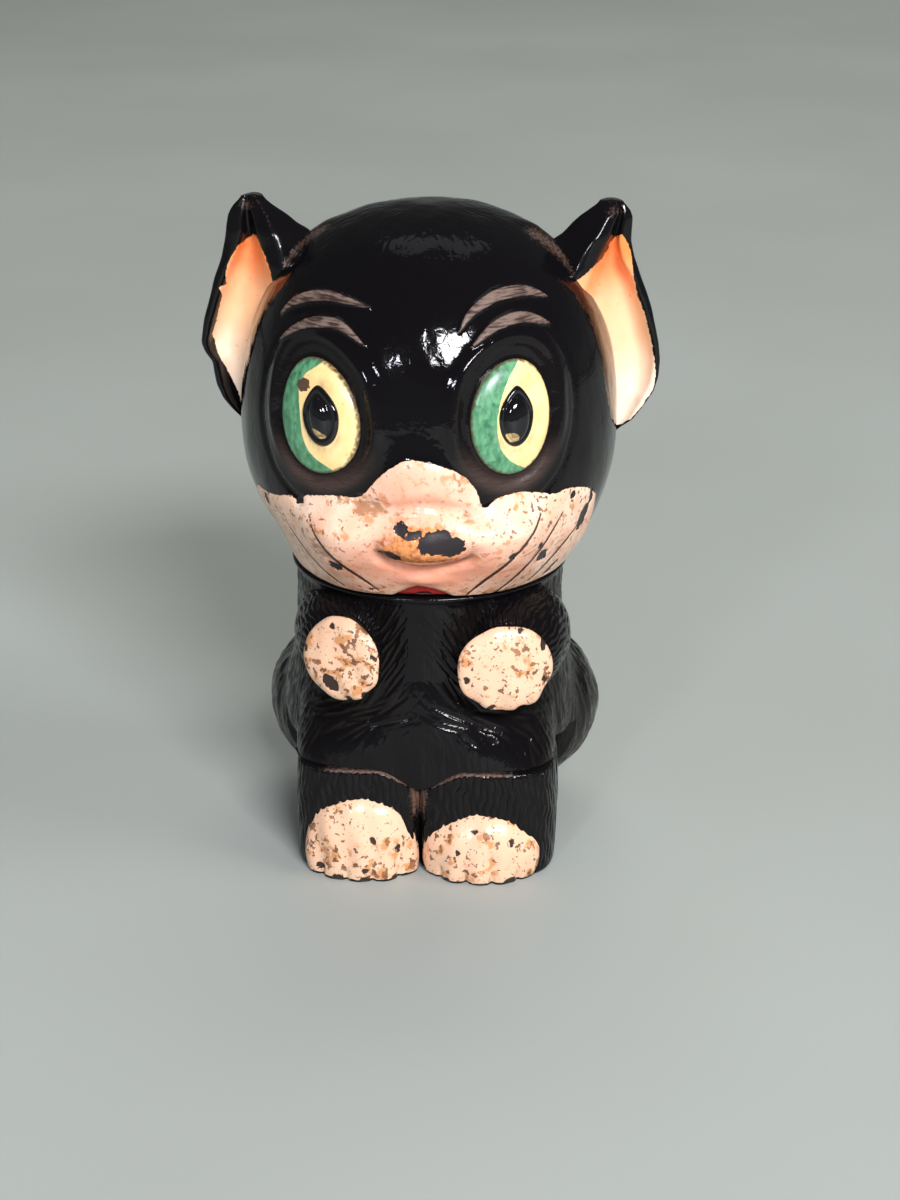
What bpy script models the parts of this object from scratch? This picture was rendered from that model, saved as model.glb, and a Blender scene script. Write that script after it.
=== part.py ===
"""A painted cat figure, made as a lidded pot: the head lifts off on a cork ring and turns on it.

Frame: +Z up, the figure looks along -Y, and the origin lies on the table under the head's turning axis.
"Left" and "right" are the viewer's, so left is at -X.
"""

import math

import bmesh
import bpy
from mathutils import Matrix, Vector

MM = 0.001
GAP = 0.3 * MM  # what two pieces that touch keep between them

# Driving dimensions
HEAD_RADIUS = 25.3 * MM
HEAD_HALF_HEIGHT = 28.8 * MM
HEAD_Z = 59.3 * MM
CROWN_SQUARENESS = 2.3  # superellipse power above the head's widest level; below it the head is elliptic
SEAM_Z = 40.0 * MM  # the pot's rim
WALL = 3.0 * MM

TORSO = [  # (radius, height) in millimetres, from the rim down; the belly hangs over the legs
    (18.4, 40.0), (18.9, 39.3), (18.7, 36.0), (18.8, 32.0), (19.2, 27.0), (19.9, 22.0), (20.0, 18.6), (19.5, 16.0),
    (18.4, 14.7), (17.0, 14.0),
]
PEDESTAL_RADIUS = 17.0 * MM
CAVITY_RADIUS = 15.5 * MM
MOUTH_RADIUS = 15.0 * MM
FLOOR_Z = 17.0 * MM  # the inside floor of the pot
CORK_HEIGHT = 6.0 * MM
SPIGOT_RADIUS = 11.0 * MM
SPIGOT_BORE = 8.3 * MM

RUMP_CENTRE = Vector((0, 7.0, 14.5)) * MM
RUMP_RADII = Vector((23.9, 17.0, 15.5)) * MM

LEG_TOP_Z = 14.3 * MM
LEG_BACK_Y = -2.0 * MM
LEG_FRONT_Y = -21.0 * MM
LEG_OUTER_X = {"left": 17.2 * MM, "right": 18.3 * MM}
LEG_INNER_X = 0.4 * MM
LEG_SQUARENESS = 3.4
FOOT_X = {"left": 8.2 * MM, "right": 8.6 * MM}
FOOT_Y = -18.4 * MM
FOOT_Z = 3.2 * MM
FOOT_RADII = {"left": Vector((7.2, 4.9, 8.4)) * MM, "right": Vector((7.5, 4.9, 7.1)) * MM}

ARM_HALF_LENGTH = 10.5 * MM
PAW_FROM_ARM_CENTRE = 8.5 * MM
PAW_HALF_THICKNESS = 2.4 * MM
FORELEGS = {  # in millimetres: shoulder and radius, then the pad's centre, the way it faces, half sizes and tilt
    "left": ((-15.0, -8.0, 34.2), 5.4, (-10.2, -21.6, 32.3), (-0.5, -0.85, 0.08), 5.3, 6.0, 0.3),
    "right": ((15.5, -8.0, 34.2), 5.8, (11.5, -21.4, 31.5), (0.24, -0.95, 0.12), 6.4, 5.8, 0.1),
}

SNOUT_CENTRE = Vector((0.6, -20.6, 50.2)) * MM
SNOUT_RADII = Vector((11.0, 6.2, 8.4)) * MM
EYE_PLACES = {"left": (-12.3, 65.5), "right": (12.0, 65.8)}  # x and height in millimetres
EYE_RADII = Vector((5.6, 7.3, 1.7)) * MM  # across, up, out of the face
EYE_SUNK = 0.5 * MM
PUPIL_RADII = Vector((2.2, 3.7, 1.0)) * MM
PUPIL_RAISED = 1.0 * MM

TURN_STEPS = 32
ROUND_STEPS = 20

parts = bpy.data.collections.new("painted_cat_figure")
cutters = bpy.data.collections.new("cutters")


def clear_scene():
    for obj in list(bpy.data.objects):
        bpy.data.objects.remove(obj)
    for group in (parts, cutters):
        bpy.context.scene.collection.children.link(group)


def lacquer(name, colour, roughness, metallic=0.0):
    made = bpy.data.materials.new(name)
    made.use_nodes = True
    shader = made.node_tree.nodes["Principled BSDF"]
    shader.inputs["Base Color"].default_value = (*colour, 1.0)
    shader.inputs["Roughness"].default_value = roughness
    shader.inputs["Metallic"].default_value = metallic
    return made


def add(name, mesh, material=None):
    """A visible part if it has a material, and a hidden cutter if it has none."""
    obj = bpy.data.objects.new(name, mesh)
    if material is None:
        cutters.objects.link(obj)
        obj.hide_render = True
        obj.display_type = "WIRE"
    else:
        parts.objects.link(obj)
        mesh.materials.append(material)
    return obj


def mesh_of(shape):
    mesh = bpy.data.meshes.new("shape")
    shape.to_mesh(mesh)
    shape.free()
    return mesh


def smooth(obj):
    obj.data.shade_smooth()
    obj.data.set_sharp_from_angle(angle=math.radians(35))


def turned(name, profile, material=None):
    """A closed shape turned about Z.

    Its profile of (radius, height) pairs starts and ends on the axis, or is a loop clear of it.
    """
    shape = bmesh.new()
    points = [shape.verts.new((radius, 0, height)) for radius, height in profile]
    for first, second in zip(points, points[1:]):
        shape.edges.new((first, second))
    if profile[0][0] > 0:
        shape.edges.new((points[-1], points[0]))
    obj = add(name, mesh_of(shape), material)
    screw = obj.modifiers.new("turn", "SCREW")
    screw.steps = TURN_STEPS
    screw.render_steps = TURN_STEPS
    screw.use_merge_vertices = True
    screw.merge_threshold = 0.01 * MM
    return obj


def ellipsoid(name, centre, radii, material=None, axes=None, grow=0.0):
    """Its local axes are the columns of axes, and its radii lie along them."""
    shape = bmesh.new()
    bmesh.ops.create_uvsphere(shape, u_segments=ROUND_STEPS, v_segments=ROUND_STEPS // 2, radius=1.0)
    stretch = Matrix.Diagonal((*(radius + grow for radius in radii), 1.0))
    turn = axes.to_4x4() if axes else Matrix.Identity(4)
    bmesh.ops.transform(shape, matrix=turn @ stretch, verts=shape.verts)
    obj = add(name, mesh_of(shape), material)
    obj.location = centre
    return obj


def box(name, low, high, material=None):
    low, high = Vector(low), Vector(high)
    shape = bmesh.new()
    bmesh.ops.create_cube(shape, size=1.0)
    bmesh.ops.transform(shape, matrix=Matrix.Diagonal((*(high - low), 1.0)), verts=shape.verts)
    obj = add(name, mesh_of(shape), material)
    obj.location = (low + high) / 2
    return obj


def loft(name, sections, material=None, steps=ROUND_STEPS):
    """A closed skin over level ellipses.

    A section is (height, centre x, centre y, radius x, radius y) in millimetres, and they go from the top down.
    """
    shape = bmesh.new()
    rings = []
    for height, x, y, across, deep in sections:
        angles = [2 * math.pi * k / steps for k in range(steps)]
        ring = [(x + across * math.cos(a), y + deep * math.sin(a), height) for a in angles]
        rings.append([shape.verts.new(Vector(point) * MM) for point in ring])
    for upper, lower in zip(rings, rings[1:]):
        for k in range(steps):
            after = (k + 1) % steps
            shape.faces.new((upper[k], lower[k], lower[after], upper[after]))
    shape.faces.new(rings[0])
    shape.faces.new(list(reversed(rings[-1])))
    return add(name, mesh_of(shape), material)


def join(target, other):
    change(target, other, "UNION")


def cut(target, *others):
    for other in others:
        change(target, other, "DIFFERENCE")


def change(target, other, operation):
    step = target.modifiers.new(f"{operation.lower()} {other.name}", "BOOLEAN")
    step.operation = operation
    step.solver = "EXACT"
    step.object = other


def facing(normal, tilt=0.0):
    """Axes for a pad that faces along normal: across, up, out. A tilt turns it about its normal."""
    out = Vector(normal).normalized()
    across = Vector((0, 0, 1)).cross(out).normalized()
    axes = Matrix((across, out.cross(across), out)).transposed()
    return axes @ Matrix.Rotation(tilt, 3, "Z")


def head_radius_at(height, inset=0.0):
    rise = (height - HEAD_Z) / (HEAD_HALF_HEIGHT - inset)
    power = CROWN_SQUARENESS if rise > 0 else 2.0
    return (HEAD_RADIUS - inset) * max(0.0, 1 - abs(rise) ** power) ** (1 / power)


def head_curve(lowest, inset=0.0, count=16):
    """The head's outline from the crown down to a level, evenly spaced by angle."""
    tall = HEAD_HALF_HEIGHT - inset
    last = math.acos((lowest - HEAD_Z) / tall)
    points = []
    for k in range(count + 1):
        height = HEAD_Z + tall * math.cos(last * k / count)
        points.append((head_radius_at(height, inset), height))
    points[0] = (0.0, HEAD_Z + tall)
    return points


def head_surface(x, height):
    """The point on the front of the head at this x and height, and the way out of the face there."""
    radius = head_radius_at(height)
    point = Vector((x, -math.sqrt(radius**2 - x**2), height))
    rise = (height - HEAD_Z) / HEAD_HALF_HEIGHT
    out = Vector((point.x / HEAD_RADIUS, point.y / HEAD_RADIUS, rise * HEAD_RADIUS / HEAD_HALF_HEIGHT))
    return point, out.normalized()


def torso_curve(grow=0.0):
    """The torso's outer side from the rim down."""
    return [(radius * MM + grow, height * MM) for radius, height in TORSO]


def make_body(material):
    inside = [(0.0, FLOOR_Z), (CAVITY_RADIUS - 2 * MM, FLOOR_Z), (CAVITY_RADIUS, FLOOR_Z + 2 * MM)]
    mouth_z = SEAM_Z - CORK_HEIGHT - 1.0 * MM
    inside += [(CAVITY_RADIUS, mouth_z - 1 * MM), (MOUTH_RADIUS, mouth_z), (MOUTH_RADIUS, SEAM_Z)]
    body = turned("body_shell", inside + torso_curve() + [(PEDESTAL_RADIUS, 0.0), (0.0, 0.0)], material)
    rump = ellipsoid("rump_form", RUMP_CENTRE, RUMP_RADII)
    hollow = [(0.0, SEAM_Z), (CAVITY_RADIUS, SEAM_Z), (CAVITY_RADIUS, FLOOR_Z + 2 * MM)]
    hollow += [(CAVITY_RADIUS - 2 * MM, FLOOR_Z), (0.0, FLOOR_Z)]
    cut(rump, turned("rump_hollow", hollow))
    join(body, rump)
    recess = prism("leg_recess", leg_outline("left", GAP)[::-1] + leg_outline("right", GAP), -MM, LEG_TOP_Z + GAP)
    cut(body, recess, box("under_table", (-0.04, -0.04, -0.03), (0.04, 0.04, 0.0)))
    return body


def make_body_cutters():
    """The torso and the rump grown by the gap, which shape the pieces that lie on them."""
    grown = [(0.0, SEAM_Z), (torso_curve(GAP)[0][0], SEAM_Z)] + torso_curve(GAP)[1:]
    torso = turned("torso_seat", grown + [(PEDESTAL_RADIUS + GAP, 0.0), (0.0, 0.0)])
    return torso, ellipsoid("rump_seat", RUMP_CENTRE, RUMP_RADII, grow=GAP)


def leg_outline(word, grow):
    """From a leg's inner side, in a rounded quarter round its front, to its outer side and its back."""
    side = -1 if word == "left" else 1
    wide = LEG_OUTER_X[word] + grow - LEG_INNER_X
    deep = LEG_BACK_Y - LEG_FRONT_Y + grow
    points = []
    for k in range(11):
        angle = math.pi / 2 * k / 10
        x = LEG_INNER_X + wide * math.sin(angle) ** (2 / LEG_SQUARENESS)
        y = LEG_BACK_Y - deep * math.cos(angle) ** (2 / LEG_SQUARENESS)
        points.append((side * x, y))
    if grow > 0:
        points.append((side * (LEG_INNER_X + wide), LEG_BACK_Y + grow))
    return points


def prism(name, outline, low, high, material=None):
    """An upright block over a level outline."""
    shape = bmesh.new()
    face = shape.faces.new([shape.verts.new((x, y, low)) for x, y in outline])
    lifted = bmesh.ops.extrude_face_region(shape, geom=[face])["geom"]
    tops = [item for item in lifted if isinstance(item, bmesh.types.BMVert)]
    bmesh.ops.translate(shape, vec=(0, 0, high - low), verts=tops)
    bmesh.ops.recalc_face_normals(shape, faces=shape.faces)
    return add(name, mesh_of(shape), material)


def make_hind_leg(side, word, black, cream):
    outline = leg_outline(word, 0.0) + [(side * LEG_INNER_X, LEG_BACK_Y)]
    leg = prism(f"{word}_hind_leg", outline, 0.0, LEG_TOP_Z, black)
    rounding = leg.modifiers.new("rounding", "BEVEL")
    rounding.width = 1.2 * MM
    rounding.segments = 2
    rounding.limit_method = "ANGLE"
    rounding.angle_limit = math.radians(50)
    place = Vector((side * FOOT_X[word], FOOT_Y, FOOT_Z))
    foot = ellipsoid(f"{word}_foot", place, FOOT_RADII[word], cream)
    cut(foot, bpy.data.objects["under_table"])
    cut(leg, ellipsoid(f"{word}_foot_seat", place, FOOT_RADII[word], grow=GAP))
    return leg, foot


def make_foreleg(word, seats, black, cream):
    """A foreleg from the shoulder to the paw, and the pad on its end."""
    shoulder, arm_radius, place, normal, across, up, tilt = FORELEGS[word]
    place, shoulder = Vector(place) * MM, Vector(shoulder) * MM
    along = (place - shoulder).normalized()
    centre = place - along * PAW_FROM_ARM_CENTRE
    arm_radii = (arm_radius * MM, arm_radius * MM, ARM_HALF_LENGTH)
    arm = ellipsoid(f"{word}_foreleg", centre, arm_radii, black, facing(along))
    radii = (across * MM, up * MM, PAW_HALF_THICKNESS)
    axes = facing(normal, tilt)
    paw = ellipsoid(f"{word}_paw", place, radii, cream, axes)
    cut(arm, *seats, ellipsoid(f"{word}_paw_seat", place, radii, axes=axes, grow=GAP))
    cut(paw, seats[0])
    return arm, paw


def make_tail(seats, material):
    """The tail lies up the middle of the back, from the rump to under the rim, and its tip turns aside."""
    route = [(0.0, 21.0, 4.6), (1.0, 23.8, 9.5), (2.2, 24.8, 15.5), (2.4, 23.6, 21.0), (1.4, 21.4, 26.2)]
    route += [(-1.4, 20.6, 30.2), (-4.8, 19.8, 32.4), (-7.8, 18.8, 31.8)]
    curve = bpy.data.curves.new("tail_line", "CURVE")
    curve.dimensions = "3D"
    curve.bevel_depth = 3.1 * MM
    curve.bevel_resolution = 3
    curve.use_fill_caps = True
    spline = curve.splines.new("BEZIER")
    spline.bezier_points.add(len(route) - 1)
    spline.resolution_u = 3
    for k, (point, place) in enumerate(zip(spline.bezier_points, route)):
        point.co = Vector(place) * MM
        point.handle_left_type = point.handle_right_type = "AUTO"
        point.radius = 1.0 - 0.35 * k / (len(route) - 1)
    line = bpy.data.objects.new("tail_line", curve)
    parts.objects.link(line)
    bpy.context.view_layer.update()
    graph = bpy.context.evaluated_depsgraph_get()
    shape = bmesh.new()
    solid = bpy.data.meshes.new_from_object(line.evaluated_get(graph))
    shape.from_mesh(solid)
    bpy.data.objects.remove(line)
    bmesh.ops.remove_doubles(shape, verts=shape.verts, dist=0.001 * MM)
    tail = add("tail", mesh_of(shape), material)
    cut(tail, *seats)
    return tail


def make_cork(material):
    inner, outer = SPIGOT_RADIUS + GAP, MOUTH_RADIUS - GAP
    high = SEAM_Z - GAP
    low = high - CORK_HEIGHT
    bevel = 0.5 * MM
    loop = [(inner, high), (outer - bevel, high), (outer, high - bevel), (outer, low + bevel)]
    loop += [(outer - bevel, low), (inner, low)]
    return turned("cork_ring", loop, material)


def make_head(material):
    """The head's shell, open through a spigot below, with the snout raised on its front."""
    seat = SEAM_Z + GAP
    outside = head_curve(seat)
    inside = list(reversed(head_curve(seat + WALL, WALL, 11)))
    tip = seat - CORK_HEIGHT
    spigot = [(SPIGOT_RADIUS, seat), (SPIGOT_RADIUS, tip), (SPIGOT_BORE, tip), (SPIGOT_BORE, seat + WALL)]
    head = turned("head_shell", outside + spigot + inside, material)
    join(head, ellipsoid("snout_form", SNOUT_CENTRE, SNOUT_RADII))
    return head


def make_eye(word, head, white, black):
    x, height = EYE_PLACES[word]
    place, out = head_surface(x * MM, height * MM)
    axes = facing(out)
    centre = place - out * EYE_SUNK
    eye = ellipsoid(f"{word}_eye", centre, EYE_RADII, white, axes)
    cut(head, ellipsoid(f"{word}_eye_socket", centre, EYE_RADII, axes=axes, grow=GAP))
    centre = place + out * PUPIL_RAISED
    pupil = ellipsoid(f"{word}_pupil", centre, PUPIL_RADII, black, axes)
    cut(eye, ellipsoid(f"{word}_pupil_seat", centre, PUPIL_RADII, axes=axes, grow=GAP))
    return eye, pupil


EAR_HORN = [  # height, centre x, centre y, radius x, radius y
    (88.5, 23.4, 0.6, 0.9, 0.8),
    (87.7, 22.9, 0.6, 3.0, 1.9),
    (86.2, 21.9, 0.8, 4.4, 2.9),
    (84.0, 21.2, 1.0, 5.4, 3.8),
    (79.0, 22.0, 1.2, 5.5, 5.2),
    (74.2, 23.6, 1.4, 5.5, 6.2),
    (69.5, 25.0, 1.5, 5.6, 6.8),
    (66.0, 25.4, 1.5, 5.6, 6.8),
    (62.6, 25.4, 1.3, 4.9, 5.8),
    (59.7, 25.0, 1.1, 3.4, 4.0),
    (57.6, 24.6, 1.0, 1.2, 1.2),
]
EAR_SCOOP = [
    (84.6, 25.2, -7.6, 0.6, 6.6),
    (82.0, 24.5, -7.0, 2.6, 8.6),
    (79.0, 23.8, -6.4, 4.1, 10.2),
    (74.2, 24.0, -6.0, 5.9, 11.6),
    (69.5, 24.9, -5.8, 6.6, 12.2),
    (66.0, 25.0, -5.8, 6.9, 12.2),
    (62.6, 25.1, -5.6, 6.0, 11.0),
    (59.9, 25.0, -5.4, 4.0, 8.6),
    (58.3, 24.8, -5.2, 1.4, 6.6),
]


def make_ear(side, word, seat, material):
    """A pointed horn on the side of the head, scooped out from the front."""
    def mirrored(sections):
        return [(height, side * x, y, side * across, deep) for height, x, y, across, deep in sections]

    ear = loft(f"{word}_ear", mirrored(EAR_HORN), material, steps=24)
    scoop = loft(f"{word}_ear_scoop", mirrored(EAR_SCOOP), steps=24)
    if side < 0:
        ear.data.flip_normals()
        scoop.data.flip_normals()
    cut(ear, scoop, seat)
    return ear


def main():
    clear_scene()
    black = lacquer("black_lacquer", (0.012, 0.011, 0.011), 0.22)
    cream = lacquer("cream_paint", (0.86, 0.62, 0.45), 0.38)
    ivory = lacquer("eye_paint", (0.80, 0.62, 0.28), 0.30)
    cork = lacquer("cork", (0.42, 0.26, 0.13), 0.85)

    body = make_body(black)
    seats = make_body_cutters()
    solids = [body, make_tail(seats, black), make_cork(cork)]
    for side, word in ((-1, "left"), (1, "right")):
        solids += make_hind_leg(side, word, black, cream)
        solids += make_foreleg(word, seats, black, cream)

    head = make_head(black)
    head_seat = turned("head_seat", [(r + GAP if r else 0.0, z) for r, z in head_curve(SEAM_Z)] + [(0.0, SEAM_Z)])
    solids.append(head)
    for side, word in ((-1, "left"), (1, "right")):
        solids += make_eye(word, head, ivory, black)
        solids.append(make_ear(side, word, head_seat, black))
    for solid in solids:
        smooth(solid)


main()
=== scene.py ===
"""The looks of the painted cat pot: its enamel, its combed fur, its wear and chips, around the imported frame.

Lengths are in millimetres until a mesh is made. The figure looks along -Y.
Azimuths run from the front towards +X.
"""

import math

import bpy
import numpy as np
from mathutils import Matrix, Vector


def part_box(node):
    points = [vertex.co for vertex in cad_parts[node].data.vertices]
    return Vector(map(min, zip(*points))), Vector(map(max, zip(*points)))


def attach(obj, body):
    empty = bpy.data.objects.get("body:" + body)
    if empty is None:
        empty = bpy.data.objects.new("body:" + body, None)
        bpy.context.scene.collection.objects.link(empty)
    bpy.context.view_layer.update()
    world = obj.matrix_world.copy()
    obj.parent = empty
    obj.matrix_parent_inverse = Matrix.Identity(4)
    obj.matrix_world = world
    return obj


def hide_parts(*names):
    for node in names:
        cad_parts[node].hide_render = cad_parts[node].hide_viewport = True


MM = 0.001
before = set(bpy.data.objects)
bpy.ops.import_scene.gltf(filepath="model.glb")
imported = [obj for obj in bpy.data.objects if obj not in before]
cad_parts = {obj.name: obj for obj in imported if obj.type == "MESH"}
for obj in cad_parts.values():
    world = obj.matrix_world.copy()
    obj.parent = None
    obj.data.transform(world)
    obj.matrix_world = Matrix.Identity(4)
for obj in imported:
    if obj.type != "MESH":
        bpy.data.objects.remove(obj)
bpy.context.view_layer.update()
random = np.random.default_rng(11)


def node_box(name):
    low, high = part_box(name)
    return np.array(low) / MM, np.array(high) / MM


# Sizes read from the frame
HEAD_LOW, HEAD_HIGH = node_box("head_shell")
HEAD_RADIUS = (HEAD_HIGH[0] - HEAD_LOW[0]) / 2
HEAD_HALF = 28.8
HEAD_Z = HEAD_HIGH[2] - HEAD_HALF
SEAM = node_box("body_shell")[1][2]
HEAD_SEAT = SEAM + 0.3
CROWN_SQUARENESS = 2.3
SPIGOT_LOW = HEAD_LOW[2]
SPIGOT_RADIUS = 11.0
SPIGOT_BORE = 8.3
HEAD_WALL = 3.0
LEG_LOW, LEG_HIGH = node_box("right_hind_leg")
RUMP = np.array([0.0, 7.0, 14.5])
RUMP_RADII = np.array([23.9, 17.0, 15.5])
CAVITY_RADIUS = 15.5
MOUTH_RADIUS = 15.0
ARM_ROOT_RADIUS = 16.3  # the arms start inside the pot's wall and stay out of its mouth
CAVITY_FLOOR = 17.0


# ---------------------------------------------------------------- meshes

def skin(name, rings, first_pole, last_pole, body, material, marks=None, stands_for=()):
    """A closed mesh over rings of points, an array (rings, points, 3), with a pole at each end.

    marks are named numbers for each ring point, (rings, points).
    The poles take the mean of the ring beside them.
    """
    count, around = rings.shape[:2]
    points = np.concatenate([rings.reshape(-1, 3), [first_pole, last_pole]]) * MM
    index = np.arange(count * around).reshape(count, around)
    after = np.roll(index, -1, axis=1)
    quads = np.stack([index[:-1], after[:-1], after[1:], index[1:]], axis=-1).reshape(-1, 4)
    near = np.stack([np.full(around, count * around), after[0], index[0]], axis=-1)
    far = np.stack([np.full(around, count * around + 1), index[-1], after[-1]], axis=-1)
    mesh = bpy.data.meshes.new(name)
    mesh.from_pydata(points.tolist(), [], quads.tolist() + near.tolist() + far.tolist())
    mesh.validate()
    for mark, values in (marks or {}).items():
        ends = [values[0].mean(), values[-1].mean()]
        layer = mesh.attributes.new(mark, "FLOAT", "POINT")
        layer.data.foreach_set("value", np.concatenate([values.ravel(), ends]).astype(np.float32))
    mesh.shade_smooth()
    obj = bpy.data.objects.new(name, mesh)
    bpy.context.scene.collection.objects.link(obj)
    mesh.materials.append(material)
    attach(obj, body)
    if stands_for:
        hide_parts(*stands_for)
    return obj


def turned(profile, azimuths):
    """Rings about the upright axis through the origin, from (radius, height) pairs."""
    return np.array([[(r * math.sin(a), -r * math.cos(a), h) for a in azimuths] for r, h in profile])


def unit(vectors):
    return vectors / np.maximum(np.linalg.norm(vectors, axis=-1, keepdims=True), 1e-9)


def outward(rings):
    """The normals of a skin's rings, by differences.

    Rings climb, and their points run anticlockwise seen from above.
    """
    along = np.gradient(rings, axis=0)
    around = np.roll(rings, -1, axis=1) - np.roll(rings, 1, axis=1)
    return unit(np.cross(around, along))


def smoothstep(value, low, high):
    share = np.clip((value - low) / (high - low), 0.0, 1.0)
    return share * share * (3 - 2 * share)


def blend_max(first, second, width):
    """The larger of two values, rounded over where they cross."""
    share = np.clip(0.5 + 0.5 * (first - second) / width, 0.0, 1.0)
    return second + (first - second) * share + width * share * (1 - share)


def mound(across, up, wide, tall):
    return np.exp(-((across / wide) ** 2) - (up / tall) ** 2)


WAVES = random.normal(size=(12, 3))
WAVE_STARTS = random.uniform(0, 2 * math.pi, 12)


def waver(points, size, start=0.0):
    """A smooth random field from about -1 to 1, whose swells are about size across."""
    total = np.zeros(points.shape[:-1])
    for wave, phase in zip(WAVES, WAVE_STARTS):
        total += np.sin(points @ wave * (2.2 / size) + phase + start * wave[0])
    return total / math.sqrt(len(WAVES)) / 1.4


def spline(points, count=48):
    """Catmull-Rom through the points."""
    points = np.asarray(points, float)
    padded = np.vstack([2 * points[0] - points[1], points, 2 * points[-1] - points[-2]])
    place = np.linspace(0, len(points) - 1 - 1e-6, count)
    k = place.astype(int)
    t = (place - k)[:, None]
    a, b, c, d = padded[k], padded[k + 1], padded[k + 2], padded[k + 3]
    return 0.5 * (2 * b + (c - a) * t + (2 * a - 5 * b + 4 * c - d) * t**2 + (3 * b - a - 3 * c + d) * t**3)


def to_line(across, up, line):
    """For each point, its distance to a polyline, and how far along it the nearest point is, from 0 to 1."""
    nearest = np.full(across.shape, 1e9)
    share = np.zeros(across.shape)
    lengths = np.linalg.norm(np.diff(line, axis=0), axis=1)
    starts = np.concatenate([[0], np.cumsum(lengths)])
    for k, length in enumerate(lengths):
        step = line[k + 1] - line[k]
        t = ((across - line[k][0]) * step[0] + (up - line[k][1]) * step[1]) / max(length**2, 1e-9)
        t = np.clip(t, 0, 1)
        distance = np.hypot(across - line[k][0] - t * step[0], up - line[k][1] - t * step[1])
        closer = distance < nearest
        nearest = np.where(closer, distance, nearest)
        share = np.where(closer, (starts[k] + t * length) / starts[-1], share)
    return nearest, share


def within(across, up, outline):
    """Signed distance to a closed outline, positive inside."""
    closed = np.vstack([outline, outline[:1]])
    distance = to_line(across, up, closed)[0]
    inside = np.zeros(across.shape, bool)
    for (x1, y1), (x2, y2) in zip(closed[:-1], closed[1:]):
        if y1 != y2:
            crossing = (y1 > up) != (y2 > up)
            inside ^= crossing & (across < (x2 - x1) * (up - y1) / (y2 - y1) + x1)
    return np.where(inside, distance, -distance)


def oval(across, up, wide, tall, tilt=0.0, egg=0.0):
    """Distance from the edge of an oval about the origin, along the line from its middle, positive inside.

    egg makes it narrower at the top than at the bottom.
    """
    u = across * math.cos(tilt) + up * math.sin(tilt)
    v = up * math.cos(tilt) - across * math.sin(tilt)
    breadth = wide * (1 - egg * np.clip(v / tall, -1, 1))
    reach = np.maximum(np.hypot(u / breadth, v / tall), 1e-6)
    return np.hypot(u, v) * (1 / reach - 1)


def comb(azimuths, heights, radii, strokes):
    """Short tapering strokes engraved on a grid, as depths below zero.

    The grid's columns are azimuths and its rows are heights.
    A stroke is (azimuth, height, lean, half length, half width, depth).
    Its lean is from upright, to the right.
    """
    relief = np.zeros((len(heights), len(azimuths)))
    for azimuth, height, lean, length, width, depth in strokes:
        near = np.interp(height, heights, radii)
        if near < 1:
            continue
        rows = slice(*np.searchsorted(heights, (height - length, height + length)))
        columns = slice(*np.searchsorted(azimuths, (azimuth - length / near, azimuth + length / near)))
        across = radii[rows, None] * (azimuths[None, columns] - azimuth)
        up = (heights[rows] - height)[:, None]
        if across.size == 0:
            continue
        along = up * math.cos(lean) + across * math.sin(lean)
        aside = across * math.cos(lean) - up * math.sin(lean)
        taper = np.clip(1 - (along / length) ** 2, 0, 1)
        cut = -depth * np.exp(-((aside / (width * (0.55 + 0.45 * taper))) ** 2)) * np.sqrt(taper)
        relief[rows, columns] = np.minimum(relief[rows, columns], cut)
    return relief


def front_dense(count, crowding):
    """Azimuths once round from -pi, closer together at the front."""
    even = np.arange(count) / count * 2 * math.pi - math.pi
    return even - crowding * np.sin(even)


# ---------------------------------------------------------------- materials

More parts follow.
